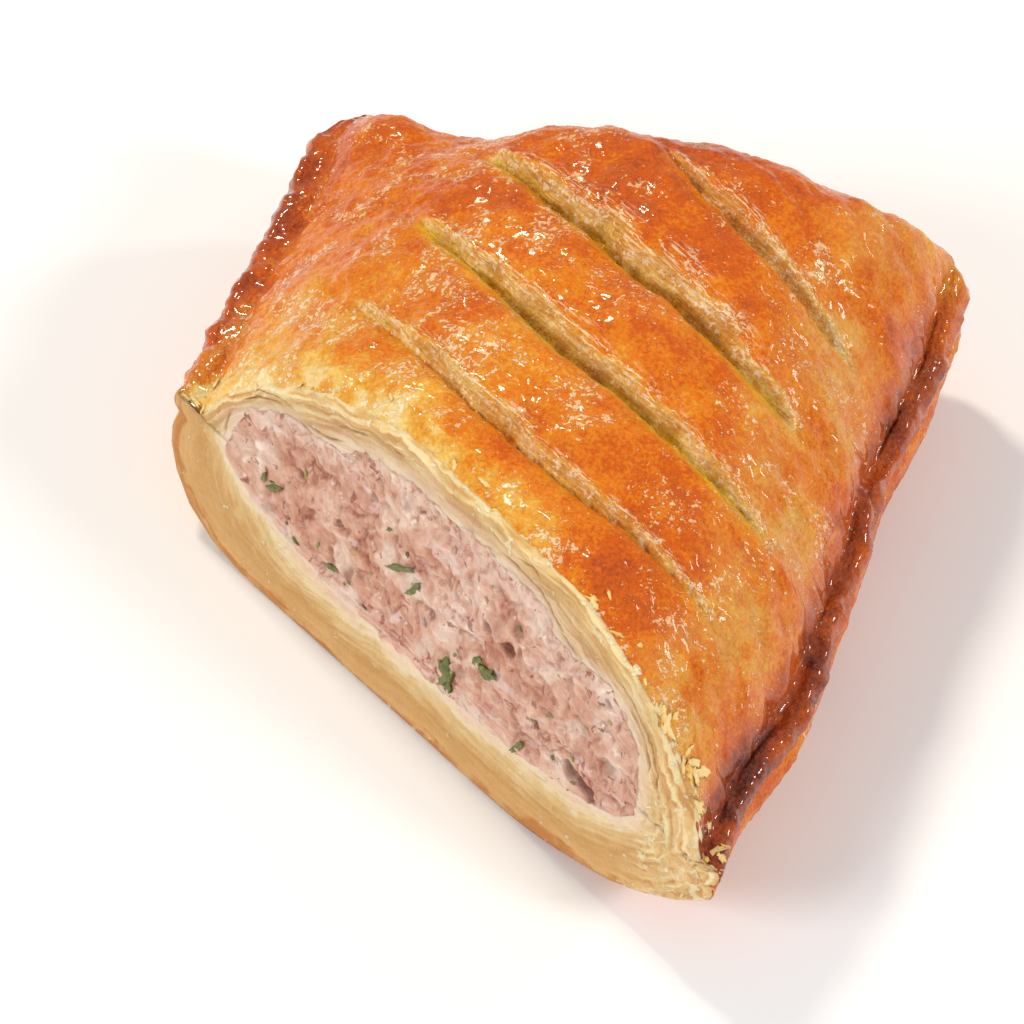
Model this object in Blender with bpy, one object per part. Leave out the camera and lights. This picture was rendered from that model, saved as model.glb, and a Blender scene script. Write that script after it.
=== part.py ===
"""Half of a large baked sausage roll, cut across on the slant.

A puff pastry case, its lid and base baked into one crust, runs round a bar of sausage meat. The lid
has four slanting slashes, and the slanting cut shows the crust in section with the meat inside it.
Metres, +Z up, X across the roll, +Y towards the closed end. The part lies on its flat base.
"""
import math

import bmesh
import bpy
from mathutils import Vector, noise

# Driving sizes of the half roll
ROLL_WIDTH = 0.070
LONG_SIDE = 0.085            # right side, from the closed end to the cut
SHORT_SIDE = 0.0425          # left side
CROWN_HEIGHT = 0.0323        # top of the lid
RIM_HEIGHT = 0.0142          # where the lid meets the side
SEAM_HEIGHT = 0.0117         # line where lid and base are pressed together
KNIFE_LEAN = 0.195           # the cut leans back this far for each metre of height

# Lid
LID_COLUMNS = 34
LID_ROWS = 34
CUT_OVERSHOOT = 0.10         # extra length of lid, as a share of the whole, that the knife removes
BUBBLE_HEIGHT = 0.00045      # small unevenness of the baked surface
BUBBLE_SIZE = 0.0075

# Hills and hollows of the lid near its closed end: x, y, height, width
HILLS = (
    (-0.0275, 0.038, 0.0030, 0.006), (0.0305, 0.038, 0.0030, 0.006),
    (-0.0160, 0.036, -0.0030, 0.009), (0.0120, 0.034, 0.0014, 0.010),
)

# Side of the crust as (how far out, height) from the rim down to the flat base
BELT = (
    (0.0007, 0.0134), (0.0007, 0.0124), (-0.0003, 0.0117), (0.0001, 0.0110), (0.0004, 0.0097),
    (0.0002, 0.0076), (-0.0010, 0.0050), (-0.0032, 0.0025), (-0.0068, 0.0007), (-0.0105, 0.0),
)
CORNER_RADIUS = 0.0055       # the two closed corners, seen from above
TOE_LIFT = 0.0075            # the base curls up under the right end of the cut

# Slashes: distance behind the cut, start and end along it, bow towards the cut, width, depth
SLASHES = (
    (0.0140, 0.012, 0.066, 0.0027, 0.0036, 0.0026),
    (0.0252, 0.010, 0.060, 0.0024, 0.0040, 0.0030),
    (0.0362, 0.007, 0.051, 0.0010, 0.0046, 0.0032),
    (0.0482, 0.021, 0.046, 0.0012, 0.0040, 0.0028),
)
SLASH_STATIONS = 13
STRIP_PUFF = 0.0012          # how far the lid swells between two slashes

# Sausage meat, as a bar that narrows at the closed end
MEAT_CENTRE = 0.4855         # across the roll, as a share of the width
MEAT_HALF = 0.380            # half its width, as a share of the width
MEAT_MIDDLE = 0.0135         # height of its widest line
MEAT_TOP = 0.0130            # rise above that line
MEAT_BOTTOM = 0.0058         # fall below it
MEAT_SQUARENESS = 0.8        # 1 is an oval, less is boxier
MEAT_DIPS = ((0.27, 0.0022, 0.07), (0.71, 0.0020, 0.05))   # place across, depth, width
MEAT_LUMP = 0.0004           # slow unevenness along the bar
MEAT_END = 0.13              # where it stops, as a share of the length from the closed end
MEAT_SIDES = 48
MEAT_ROWS = 9
FACE_ROWS = 12               # rings of faces across the cut meat
MEAT_GAP = 0.00035           # clearance between the meat and the crust
MEAT_ROUGHNESS = 0.0007      # relief of the cut meat

# Herb flecks in the cut meat: place across the cut, height, length, turn in degrees
HERBS = (
    (0.528, 0.0098, 0.0042, 70), (0.596, 0.0137, 0.0034, 15), (0.187, 0.0132, 0.0034, 20),
    (0.426, 0.0168, 0.0044, 35), (0.670, 0.0090, 0.0028, 55), (0.312, 0.0100, 0.0022, 10),
)
HERB_THICKNESS = 0.0009

# Pastry layers that show as shallow grooves round the cut: share of the way out from the meat
LAYER_SHARES = (0.30, 0.56, 0.80)
CRUST_HALF = 0.455           # half the width that the layers reach, as a share of the width
LAYER_WIDTH = 0.0007
LAYER_DEPTH = 0.0007
LAYER_STATIONS = 26

HALF_WIDTH = ROLL_WIDTH / 2
BACK = LONG_SIDE / 2
CUT_ANGLE = math.atan2(LONG_SIDE - SHORT_SIDE, ROLL_WIDTH)
ALONG_CUT = Vector((math.cos(CUT_ANGLE), -math.sin(CUT_ANGLE), 0))
INTO_ROLL = Vector((math.sin(CUT_ANGLE), math.cos(CUT_ANGLE), 0))
CUT_LENGTH = ROLL_WIDTH / math.cos(CUT_ANGLE)
CUT_START = Vector((-HALF_WIDTH, BACK - SHORT_SIDE, 0))
CUT_NORMAL = (-INTO_ROLL + Vector((0, 0, KNIFE_LEAN))).normalized()


def bump(value, centre, width):
    """A smooth hill of height 1."""
    return math.exp(-((value - centre) / width) ** 2)


def arch(distance, flat, reach, power, root):
    """0 at the edge of the lid, rising to 1 at the given reach from it."""
    share = min(max((distance - flat) / (reach - flat), 0), 1)
    return (1 - (1 - share) ** power) ** (1 / root)


def left_edge(y):
    return -HALF_WIDTH + 0.0003 * math.sin(y / 0.0043) + 0.0007 * bump(y, 0.024, 0.010)


def right_edge(y):
    return HALF_WIDTH + 0.0018 * bump(y, -0.014, 0.013) + 0.0003 * math.sin(y / 0.0037 + 1)


def round_corner(x, y):
    """Draw the square closed corners in to a round, by the usual map from a square to a disc."""
    sideways = (abs(x) - (HALF_WIDTH - CORNER_RADIUS)) / CORNER_RADIUS
    backwards = (y - (BACK - CORNER_RADIUS)) / CORNER_RADIUS
    if sideways <= 0 or backwards <= 0:
        return x, y
    x -= math.copysign(sideways * (1 - math.sqrt(1 - backwards ** 2 / 2)) * CORNER_RADIUS, x)
    y -= backwards * (1 - math.sqrt(1 - min(sideways, 1) ** 2 / 2)) * CORNER_RADIUS
    return x, y


def plan(across, along):
    """Point of the roll seen from above: across 0 left to 1 right, along 0 closed end to 1 cut."""
    side = SHORT_SIDE + (LONG_SIDE - SHORT_SIDE) * across
    y = BACK - along * side
    x = left_edge(y) + (right_edge(y) - left_edge(y)) * across
    return round_corner(x, y)


def behind_cut(x, y):
    """Distance behind the cut, and distance along it from its left end."""
    offset = Vector((x, y, 0)) - CUT_START
    return offset.dot(INTO_ROLL), offset.dot(ALONG_CUT)


def slash_distance(slash, along):
    """Distance of one slash behind the cut, at a place along it."""
    place, start, end, bow = slash[:4]
    share = (along - (start + end) / 2) / ((end - start) / 2)
    return place - bow * (1 - share ** 2)


def strip_swell(x, y):
    """Height that the lid gains between two neighbouring slashes, nothing near the edges."""
    back, along = behind_cut(x, y)
    lines = [slash_distance(slash, along) for slash in SLASHES]
    swell = 0
    for near, far in zip(lines, lines[1:]):
        if near < back < far:
            swell = math.sin(math.pi * (back - near) / (far - near)) ** 0.7
    middle = bump(along, 0.034, 0.026) ** 2
    return STRIP_PUFF * swell * middle


def lid_height(x, y):
    """Height of the lid: an arch from the left, right and closed sides, with its corners up."""
    rise = arch(x - left_edge(y), 0.0030, 0.033, 2.0, 1.2)
    rise *= arch(right_edge(y) - x, 0.0015, 0.026, 2.6, 1.6)
    rise *= arch(BACK - y, 0.0008, 0.015, 2.6, 1.6)
    z = RIM_HEIGHT + (CROWN_HEIGHT - RIM_HEIGHT) * rise
    for hill_x, hill_y, height, width in HILLS:
        z += height * bump(x, hill_x, width) * bump(y, hill_y, width)
    bubbles = noise.noise(Vector((x, y, 0)) / BUBBLE_SIZE)
    return z + strip_swell(x, y) + BUBBLE_HEIGHT * bubbles * min(rise * 3, 1)


def smooth_object(name, mesh_data, material):
    """Turn a bmesh into a named object with its own material and smooth shading."""
    mesh = bpy.data.meshes.new(name)
    mesh_data.to_mesh(mesh)
    mesh_data.free()
    made = bpy.data.objects.new(name, mesh)
    bpy.context.collection.objects.link(made)
    if material:
        mesh.materials.append(material)
    mesh.shade_smooth()
    mesh.set_sharp_from_angle(angle=math.radians(50))
    return made


def food_material(name, colour, roughness):
    material = bpy.data.materials.new(name)
    material.use_nodes = True
    shader = material.node_tree.nodes["Principled BSDF"]
    shader.inputs["Base Color"].default_value = (*colour, 1)
    shader.inputs["Roughness"].default_value = roughness
    shader.inputs["Metallic"].default_value = 0
    return material


def split_quads(mesh_data):
    """Turn bent four-sided faces into flat triangles."""
    quads = [face for face in mesh_data.faces if len(face.verts) == 4]
    bmesh.ops.triangulate(mesh_data, faces=quads)


def loft(rings):
    """Join rings of equal length into one closed skin."""
    mesh_data = bmesh.new()
    loops = [[mesh_data.verts.new(point) for point in ring] for ring in rings]
    for near, far in zip(loops, loops[1:]):
        for side, corner in enumerate(near):
            before = side - 1
            mesh_data.faces.new((near[before], corner, far[side], far[before]))
    mesh_data.faces.new(loops[0])
    mesh_data.faces.new(loops[-1])
    split_quads(mesh_data)
    bmesh.ops.recalc_face_normals(mesh_data, faces=mesh_data.faces[:])
    return mesh_data


def lid_grid():
    """The lid: a unit grid laid over the plan and lifted to the lid's height."""
    mesh_data = bmesh.new()
    bmesh.ops.create_grid(mesh_data, x_segments=LID_COLUMNS, y_segments=LID_ROWS, size=0.5)
    for vert in mesh_data.verts:
        across = vert.co.x + 0.5
        along = (0.5 - vert.co.y) * (1 + CUT_OVERSHOOT)
        x, y = plan(across, along)
        vert.co = (x, y, lid_height(x, y))
    return mesh_data


def add_belt(mesh_data):
    """Carry the lid's edge down the side, in at the seam, and under to the flat base."""
    edges = [edge for edge in mesh_data.edges if edge.is_boundary]
    last_out = 0
    for out, height in BELT:
        made = bmesh.ops.extrude_edge_only(mesh_data, edges=edges)["geom"]
        edges = [item for item in made if isinstance(item, bmesh.types.BMEdge) and item.is_boundary]
        verts = [item for item in made if isinstance(item, bmesh.types.BMVert)]
        for vert in verts:
            x, y = vert.co.xy
            x *= (HALF_WIDTH + out) / (HALF_WIDTH + last_out)
            if y > 0:
                y *= (BACK + out) / (BACK + last_out)
            vert.co = (x, y, height)
        last_out = out
    bmesh.ops.edgeloop_fill(mesh_data, edges=edges)


def lift_toe(mesh_data):
    """Curl the base up under the right end of the cut."""
    for vert in mesh_data.verts:
        if vert.co.z < SEAM_HEIGHT:
            back, along = behind_cut(vert.co.x, vert.co.y)
            reach = min(max(along / CUT_LENGTH - 0.60, 0) / 0.40, 1) ** 2
            fade = min(max(1 - back / 0.016, 0), 1)
            vert.co.z += TOE_LIFT * reach * fade * (1 - vert.co.z / SEAM_HEIGHT)


def cut_point(across, height, proud=0.0):
    """Point of the cut face, or that far in front of it."""
    lean = INTO_ROLL * KNIFE_LEAN * (height - SEAM_HEIGHT)
    return CUT_START + ALONG_CUT * across * CUT_LENGTH + lean + Vector((0, 0, height)) + CUT_NORMAL * proud


def meat_outline(turn, along, grow, scale=1.0):
    """Across place and height of the meat's outline at one angle, as a rounded box."""
    cos, sin = math.cos(turn), math.sin(turn)
    wide = MEAT_HALF + grow / ROLL_WIDTH
    tall = (MEAT_TOP if sin > 0 else MEAT_BOTTOM) + grow
    across = wide * math.copysign(abs(cos) ** MEAT_SQUARENESS, cos)
    height = tall * math.copysign(abs(sin) ** MEAT_SQUARENESS, sin)
    if sin > 0:
        height *= 1 + 0.12 * cos
        height -= sum(deep * bump(MEAT_CENTRE + across, place, width) for place, deep, width in MEAT_DIPS)
        height += MEAT_LUMP * math.sin(3 * turn + 14 * along) * sin
    return MEAT_CENTRE + across * scale, MEAT_MIDDLE + height * scale


def meat_rings(grow, overshoot):
    """Rings of the meat from its closed end to the cut, or past the cut by the overshoot."""
    rings = []
    for row in range(MEAT_ROWS + 1):
        share = row / MEAT_ROWS
        start = MEAT_END - grow / LONG_SIDE
        along = start + (1 + overshoot - start) * share ** 1.4
        scale = min(0.45 + 0.55 * math.sqrt(min(share * 4.5, 1)), 1)
        ring = []
        for side in range(MEAT_SIDES):
            across, height = meat_outline(math.tau * side / MEAT_SIDES, along, grow, scale)
            x, y = plan(across, along)
            lean = INTO_ROLL * KNIFE_LEAN * (height - SEAM_HEIGHT) * min(along, 1)
            ring.append(Vector((x, y, height)) + lean)
        rings.append(ring)
    return rings


def meat_face_rings():
    """Rings across the cut meat, shrinking to its middle, with torn and lumpy relief."""
    rings = []
    for row in range(1, FACE_ROWS + 1):
        scale = 1 - row / (FACE_ROWS + 0.35)
        ring = []
        for side in range(MEAT_SIDES):
            turn = math.tau * side / MEAT_SIDES
            across, height = meat_outline(turn, 1, 0, scale)
            place = Vector((across * CUT_LENGTH, height, 3.0))
            relief = noise.noise(place / 0.0048) + 0.5 * noise.noise(place / 0.0022)
            ring.append(cut_point(across, height, MEAT_ROUGHNESS * relief))
        rings.append(ring)
    return rings


def slash_cutter(slash):
    """A canoe-shaped blade: near wall steep, far wall sloping, following the lid's height."""
    start, end, width, depth = slash[1], slash[2], slash[4], slash[5]
    rings = []
    for station in range(SLASH_STATIONS):
        share = station / (SLASH_STATIONS - 1)
        along = start + (end - start) * share
        full = max(math.sin(math.pi * share) ** 0.6, 0.04)
        centre = CUT_START + ALONG_CUT * along + INTO_ROLL * slash_distance(slash, along)
        surface = lid_height(centre.x, centre.y)
        profile = (
            (-0.20, -0.9 * depth), (0.12, -depth), (0.62, -0.55 * depth), (0.95, 0.0015), (1.10, 0.006),
            (-0.40, 0.006), (-0.30, 0.0015),
        )
        ring = []
        for sideways, height in profile:
            drop = height * full if height < 0 else height
            ring.append(centre + INTO_ROLL * sideways * width * full + Vector((0, 0, surface + drop)))
        rings.append(ring)
    return loft(rings)


def crust_outline(turn):
    """Rough outer outline of the crust at the cut, by angle round the meat's middle."""
    cos, sin = math.cos(turn), math.sin(turn)
    across = CRUST_HALF * math.copysign(abs(cos) ** 0.9, cos)
    tall = CROWN_HEIGHT - MEAT_MIDDLE if sin > 0 else MEAT_MIDDLE
    height = tall * math.copysign(abs(sin) ** 0.75, sin)
    return MEAT_CENTRE + across, MEAT_MIDDLE + height


def layer_cutter(share, first, last):
    """A thin curved ribbon that opens one groove between two pastry layers."""
    rings = []
    for station in range(LAYER_STATIONS):
        place = station / (LAYER_STATIONS - 1)
        turn = first + (last - first) * place
        inner = Vector(meat_outline(turn, 1, MEAT_GAP))
        outer = Vector(crust_outline(turn))
        middle = inner.lerp(outer, share + 0.05 * math.sin(7 * turn + 9 * share))
        full = max(math.sin(math.pi * place) ** 0.4, 0.15)
        half = LAYER_WIDTH / 2 * full
        direction = Vector((math.cos(turn) * half / CUT_LENGTH, math.sin(turn) * half))
        low, high = middle - direction, middle + direction
        rings.append([
            cut_point(low.x, low.y, 0.001), cut_point(high.x, high.y, 0.001),
            cut_point(middle.x, middle.y, -LAYER_DEPTH * full),
        ])
    return loft(rings)


def herb_leaf(herb):
    """A small flat curled leaf, half sunk in the cut meat."""
    across, height, length, turn = herb
    mesh_data = bmesh.new()
    bmesh.ops.create_icosphere(mesh_data, subdivisions=1, radius=0.5)
    turned = math.radians(turn)
    long_way = ALONG_CUT * math.cos(turned) + Vector((0, 0, math.sin(turned)))
    short_way = CUT_NORMAL.cross(long_way).normalized()
    middle = cut_point(across, height, MEAT_ROUGHNESS * 0.5)
    for vert in mesh_data.verts:
        u, v, w = vert.co
        curl = 0.15 * length * (u * u - 0.1)
        vert.co = middle + long_way * u * length + short_way * v * length * 0.55
        vert.co += CUT_NORMAL * (w * HERB_THICKNESS * 1.6 + curl)
    return mesh_data


def boolean(target, pieces, operation):
    """Join or remove a group of pieces in one Boolean, apply it, and delete the pieces."""
    group = bpy.data.collections.new(target.name + "_" + operation.lower())
    bpy.context.scene.collection.children.link(group)
    for number, mesh_data in enumerate(pieces):
        piece = smooth_object(f"{group.name}_{number}", mesh_data, None)
        bpy.context.collection.objects.unlink(piece)
        group.objects.link(piece)
        piece.hide_render = True
        piece.display_type = "WIRE"
    modifier = target.modifiers.new("join" if operation == "UNION" else "cut", "BOOLEAN")
    modifier.operation = operation
    modifier.operand_type = "COLLECTION"
    modifier.collection = group
    modifier.solver = "EXACT"
    bpy.context.view_layer.update()
    evaluated = target.evaluated_get(bpy.context.evaluated_depsgraph_get())
    result = bpy.data.meshes.new_from_object(evaluated)
    target.modifiers.clear()
    target.data = result
    for piece in list(group.objects):
        bpy.data.objects.remove(piece)
    bpy.data.collections.remove(group)


def pastry_crust():
    """Lid, sides and base as one crust, cut on the slant, hollowed, slashed and layered."""
    mesh_data = lid_grid()
    add_belt(mesh_data)
    lift_toe(mesh_data)
    split_quads(mesh_data)
    geometry = mesh_data.verts[:] + mesh_data.edges[:] + mesh_data.faces[:]
    bmesh.ops.bisect_plane(mesh_data, geom=geometry, plane_co=cut_point(0, SEAM_HEIGHT),
                           plane_no=CUT_NORMAL, clear_outer=True)
    rim = [edge for edge in mesh_data.edges if edge.is_boundary]
    bmesh.ops.edgeloop_fill(mesh_data, edges=rim)
    bmesh.ops.recalc_face_normals(mesh_data, faces=mesh_data.faces[:])
    crust = smooth_object("pastry_crust", mesh_data, food_material("baked_pastry", (0.60, 0.25, 0.07), 0.35))
    boolean(crust, [loft(meat_rings(MEAT_GAP, 0.06))], "DIFFERENCE")
    cutters = [slash_cutter(slash) for slash in SLASHES]
    cutters += [layer_cutter(share, math.radians(28), math.radians(158)) for share in LAYER_SHARES]
    cutters += [layer_cutter(share, math.radians(205), math.radians(330)) for share in LAYER_SHARES[:2]]
    boolean(crust, cutters, "DIFFERENCE")
    return crust


def sausage_filling():
    """The bar of sausage meat with herb flecks fused to its cut face."""
    rings = meat_rings(0, 0) + meat_face_rings()
    meat = smooth_object("sausage_filling", loft(rings), food_material("sausage_meat", (0.56, 0.33, 0.25), 0.5))
    boolean(meat, [herb_leaf(herb) for herb in HERBS], "UNION")
    return meat


def stand_on_base(pieces):
    """Put the middle of the whole part's box over the origin and its lowest face at height 0."""
    corners = [vert.co for piece in pieces for vert in piece.data.vertices]
    low = Vector([min(corner[axis] for corner in corners) for axis in range(3)])
    high = Vector([max(corner[axis] for corner in corners) for axis in range(3)])
    shift = Vector(((low.x + high.x) / 2, (low.y + high.y) / 2, low.z))
    for piece in pieces:
        for vert in piece.data.vertices:
            vert.co -= shift


for old in list(bpy.data.objects):
    bpy.data.objects.remove(old)
stand_on_base([pastry_crust(), sausage_filling()])
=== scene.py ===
# Half of a large sausage roll, cut on the slant. Shapes are worked out in millimetres and put into
# the mesh in metres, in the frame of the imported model: X across, +Y to the closed end, +Z up.
import itertools
import math

import bpy
import numpy as np
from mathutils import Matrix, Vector


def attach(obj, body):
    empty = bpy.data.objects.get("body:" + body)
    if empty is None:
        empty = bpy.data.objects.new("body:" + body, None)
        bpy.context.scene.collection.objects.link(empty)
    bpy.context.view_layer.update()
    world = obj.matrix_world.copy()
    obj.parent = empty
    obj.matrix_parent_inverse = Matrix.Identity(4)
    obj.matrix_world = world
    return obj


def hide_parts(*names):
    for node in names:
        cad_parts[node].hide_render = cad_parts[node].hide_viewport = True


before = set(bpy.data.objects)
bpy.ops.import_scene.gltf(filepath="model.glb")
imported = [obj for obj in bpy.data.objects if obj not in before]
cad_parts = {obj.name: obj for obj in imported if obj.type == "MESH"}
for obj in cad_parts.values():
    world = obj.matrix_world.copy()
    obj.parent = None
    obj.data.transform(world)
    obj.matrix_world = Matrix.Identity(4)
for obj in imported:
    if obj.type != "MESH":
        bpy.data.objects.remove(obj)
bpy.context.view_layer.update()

mm = 0.001

# Form of the half roll, in millimetres. The solids have nearly the same form: their lid is slightly
# higher and swells less between the slashes, and they have plainer slashes and no folds on the rim
roll = {
    "width": 70.0,
    "longSide": 85.0,
    "shortSide": 42.5,
    "crown": 32.0,
    "rim": 14.2,
    "seam": 11.7,
    "knifeLean": 0.195,      # the cut leans back this much for each millimetre of height
    "cornerRadius": 5.5,
    "stripPuff": 2.1,        # swell between two slashes, where it is most, and how far that reaches
    "puffMiddle": 34,
    "puffReach": 26,
    "toeLift": 7.5,          # the base lifts near the right end of the cut: how far, from which share
    "toeStart": 0.60,        # of the cut on, and how far behind it
    "toeReach": 16,
    # arches of the lid from its edges: flat margin, reach, power, root
    "archLeft": (3.0, 33, 2.0, 1.2),
    "archRight": (1.5, 26, 2.6, 1.6),
    "archBack": (0.8, 15, 2.6, 1.6),
    "bubble": 0.55,          # slow waves of the lid, and how far it sinks inside its edges
    "sink": 0.35,
    # hills and hollows near the closed end: x, y, height, width
    "hills": ((-27.5, 38, 3.0, 6), (30.5, 38, 3.0, 6), (-16, 36, -3.0, 9), (12, 34, 1.4, 10)),
    # folds of the right rim: x, y, height, width
    "folds": ((33.6, 7, 1.7, 2.6), (33.4, 13, -1.0, 2.6), (33.8, -11, 1.2, 3.2), (33.2, 24, 1.1, 3.0),
              (33.8, -22, -0.7, 3.0)),
    # side of the crust: how far out, height
    "belt": ((0, 14.2), (0.7, 13.4), (0.7, 12.4), (-0.3, 11.7), (0.1, 11.0), (0.4, 9.7),
             (0.2, 7.6), (-1.0, 5.0), (-3.2, 2.5), (-6.8, 0.7), (-10.5, 0)),
    # slashes: distance behind the cut, start and end along it, bow, width, depth, paleness, olive
    "slashes": ((14.0, 11, 67, 2.7, 1.4, 1.9, 0.80, 0.25), (25.2, 7, 61, 2.4, 2.1, 2.2, 0.90, 1.0),
                (36.2, 4, 52, 1.0, 3.0, 2.6, 1.00, 0.9), (48.2, 18, 47, 1.2, 1.9, 2.2, 0.75, 0.30)),
    "slashNear": 3.0,        # reach of the rolled near side of a slash
    "slashFar": 0.62,        # reach of the torn far side, and its raggedness, as shares of the width
    "slashRagged": 0.42,
    "slashLip": 0.35,        # height of the lip behind it
    "cutRound": 0.8,         # how far the lid's edge at the cut is rounded down
}

# Bar of meat: centre and half width as shares of the roll's width, the rest in millimetres
meatBar = {
    "centre": 0.4855,
    "half": 0.380,
    "middle": 13.5,
    "top": 13.0,
    "bottom": 5.8,
    "squareness": 0.8,
    "dips": ((0.27, 2.2, 0.07), (0.71, 2.0, 0.05)),
    "lump": 0.4,
    "end": 0.13,             # closed end, as a share of the roll's length
    "endSize": 0.45,         # size of the bar at that end
    "endTaper": 4.5,         # it has its full size one part in this many from the end
}

halfWidth = roll["width"] / 2
backY = roll["longSide"] / 2
cutSlope = (roll["longSide"] - roll["shortSide"]) / roll["width"]
cutAngle = math.atan(cutSlope)
cutLength = roll["width"] / math.cos(cutAngle)
cutStart = np.array([-halfWidth, backY - roll["shortSide"]])
alongCut = np.array([math.cos(cutAngle), -math.sin(cutAngle)])
intoRoll = np.array([math.sin(cutAngle), math.cos(cutAngle)])
knifeNormal = np.array([-intoRoll[0], -intoRoll[1], roll["knifeLean"]])
knifeNormal /= np.linalg.norm(knifeNormal)

tableSize = 4096             # a power of two
slopeTable = np.random.default_rng(5).normal(size=(tableSize, 3))
slopeTable /= np.linalg.norm(slopeTable, axis=1)[:, None]
cellTable = np.random.default_rng(9).random((tableSize, 4))


# Row of a random table for each lattice corner: its three whole numbers mixed by large primes
def latticeRow(cell, seed):
    mixed = cell[:, 0] * 73856093 ^ cell[:, 1] * 19349663 ^ cell[:, 2] * 83492791 ^ seed * 2654435761
    return (mixed ^ mixed >> 13) & tableSize - 1


# Gradient noise, brought to about -1 to 1: random slopes at the corners of unit cells, blended with
# the weight 6t^5 - 15t^4 + 10t^3
def gradientNoise(points, seed=0):
    cell = np.floor(points).astype(np.int64)
    part = points - cell
    weight = part ** 3 * (part * (part * 6 - 15) + 10)
    total = np.zeros(len(points))
    for corner in itertools.product((0, 1), repeat=3):
        step = np.array(corner)
        slope = slopeTable[latticeRow(cell + step, seed)]
        share = np.prod(np.where(step, weight, 1 - weight), axis=1)
        total += share * np.sum(slope * (part - step), axis=1)
    return total * 1.6


# Sum of gradient noise: each octave has half the size and half the strength of the last, and is
# moved along so that their lattices don't line up
def fractalNoise(points, size, octaves=3, seed=0):
    total = np.zeros(len(points))
    for octave in range(octaves):
        total += gradientNoise(points / size * 2 ** octave + 7.3 * octave, seed + octave) / 2 ** octave
    return total


# Points with the given x and y at height 0, in one list
def flatPoints(x, y):
    return np.stack(np.broadcast_arrays(x, y, 0.0), -1).reshape(-1, 3)


# Fractal noise at the points of a grid, drawn out by a scale for each axis
def gridNoise(place, shape, size, octaves, seed, stretch=(1, 1, 1)):
    return fractalNoise(place * stretch, size, octaves, seed).reshape(shape)


# Cells round scattered points: distance to the nearest one, how far the second nearest is beyond
# it (0 on a border between cells), and a random number for each cell
def cellNoise(points, size, seed=0):
    scaled = points / size
    cell = np.floor(scaled).astype(np.int64)
    nearest = np.full(len(points), 9.0)
    second = np.full(len(points), 9.0)
    tone = np.zeros(len(points))
    for corner in itertools.product((-1, 0, 1), repeat=3):
        other = cell + np.array(corner)
        draw = cellTable[latticeRow(other, seed)]
        distance = np.linalg.norm(other + draw[:, :3] - scaled, axis=1)
        closer = distance < nearest
        second = np.where(closer, nearest, np.minimum(second, distance))
        tone = np.where(closer, draw[:, 3], tone)
        nearest = np.where(closer, distance, nearest)
    return nearest, second - nearest, tone


# Smooth hill of height 1: e to the minus square of the distance over the width
def hill(value, centre, width):
    return np.exp(-((value - centre) / width) ** 2)


# Smooth step from 0 at low to 1 at high: 3t^2 - 2t^3
def smoothStep(value, low, high):
    share = np.clip((value - low) / (high - low), 0, 1)
    return share * share * (3 - 2 * share)


# Smooth band: a step up from low to full, and a step down from fall to gone
def band(value, low, full, fall, gone):
    return smoothStep(value, low, full) * smoothStep(-value, -gone, -fall)


# Sheet edges seen side on: a slow rise over most of each unit, then a fast fall
def sheetEdges(value):
    part = value - np.floor(value)
    return np.where(part < 0.75, part / 0.75, (1 - part) / 0.25)


# 0 at the lid's edge, rising to 1 at the reach from it: (1 - (1 - t)^power)^(1 / root)
def arch(distance, flat, reach, power, root):
    share = np.clip((distance - flat) / (reach - flat), 0, 1)
    return (1 - (1 - share) ** power) ** (1 / root)


# Left edge seen from above: half the width out, with a slow wave and one dent
def leftEdge(y):
    return -halfWidth + 0.3 * np.sin(y / 4.3) + 0.7 * hill(y, 24, 10)


# Right edge seen from above: half the width out, with a slow wave and one bulge
def rightEdge(y):
    return halfWidth + 1.8 * hill(y, -14, 13) + 0.3 * np.sin(y / 3.7 + 1)


# Where the cut's line stands at x: it falls evenly from the left side to the right
def cutLineY(x):
    return cutStart[1] - (x + halfWidth) * cutSlope


# Map from a square to a disc: x * sqrt(1 - y^2 / 2), y * sqrt(1 - x^2 / 2)
def squareToDisc(x, y):
    return x * np.sqrt(1 - y * y / 2), y * np.sqrt(1 - x * x / 2)


# Draws the two square closed corners in to a round, by the same map
def roundCorner(x, y):
    radius = roll["cornerRadius"]
    sideways = np.clip((np.abs(x) - (halfWidth - radius)) / radius, 0, 1.2)
    backwards = np.clip((y - (backY - radius)) / radius, 0, 1)
    x = x - np.sign(x) * sideways * (1 - np.sqrt(1 - backwards ** 2 / 2)) * radius
    y = y - backwards * (1 - np.sqrt(1 - np.minimum(sideways, 1) ** 2 / 2)) * radius
    return x, y


# Point seen from above: across runs 0 left to 1 right, along runs 0 closed end to 1 cut
def planPoint(across, along):
    side = roll["shortSide"] + (roll["longSide"] - roll["shortSide"]) * across
    y = backY - along * side
    x = leftEdge(y) + (rightEdge(y) - leftEdge(y)) * across
    return roundCorner(x, y)


# Distance behind the cut's line at the seam, and distance along that line
def behindCut(x, y):
    offsetX = x - cutStart[0]
    offsetY = y - cutStart[1]
    return offsetX * intoRoll[0] + offsetY * intoRoll[1], offsetX * alongCut[0] + offsetY * alongCut[1]


# How far the knife's plane stands back at a height, in even proportion from the seam
def leanAt(height):
    return roll["knifeLean"] * (height - roll["seam"])


# Moves a place seen from above back by the lean at its height, or by a share of it
def leanBack(x, y, height, share=1.0):
    lean = leanAt(height) * share
    return x + intoRoll[0] * lean, y + intoRoll[1] * lean


# -1 at the start of a slash, 0 in its middle and 1 at its end
def slashShare(slash, along):
    start, end = slash[1:3]
    return (along - (start + end) / 2) / ((end - start) / 2)


# Middle line of a slash, as its distance behind the cut: a parabola bowed towards the cut
def slashLine(slash, along):
    return slash[0] - slash[3] * (1 - slashShare(slash, along) ** 2)


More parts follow.
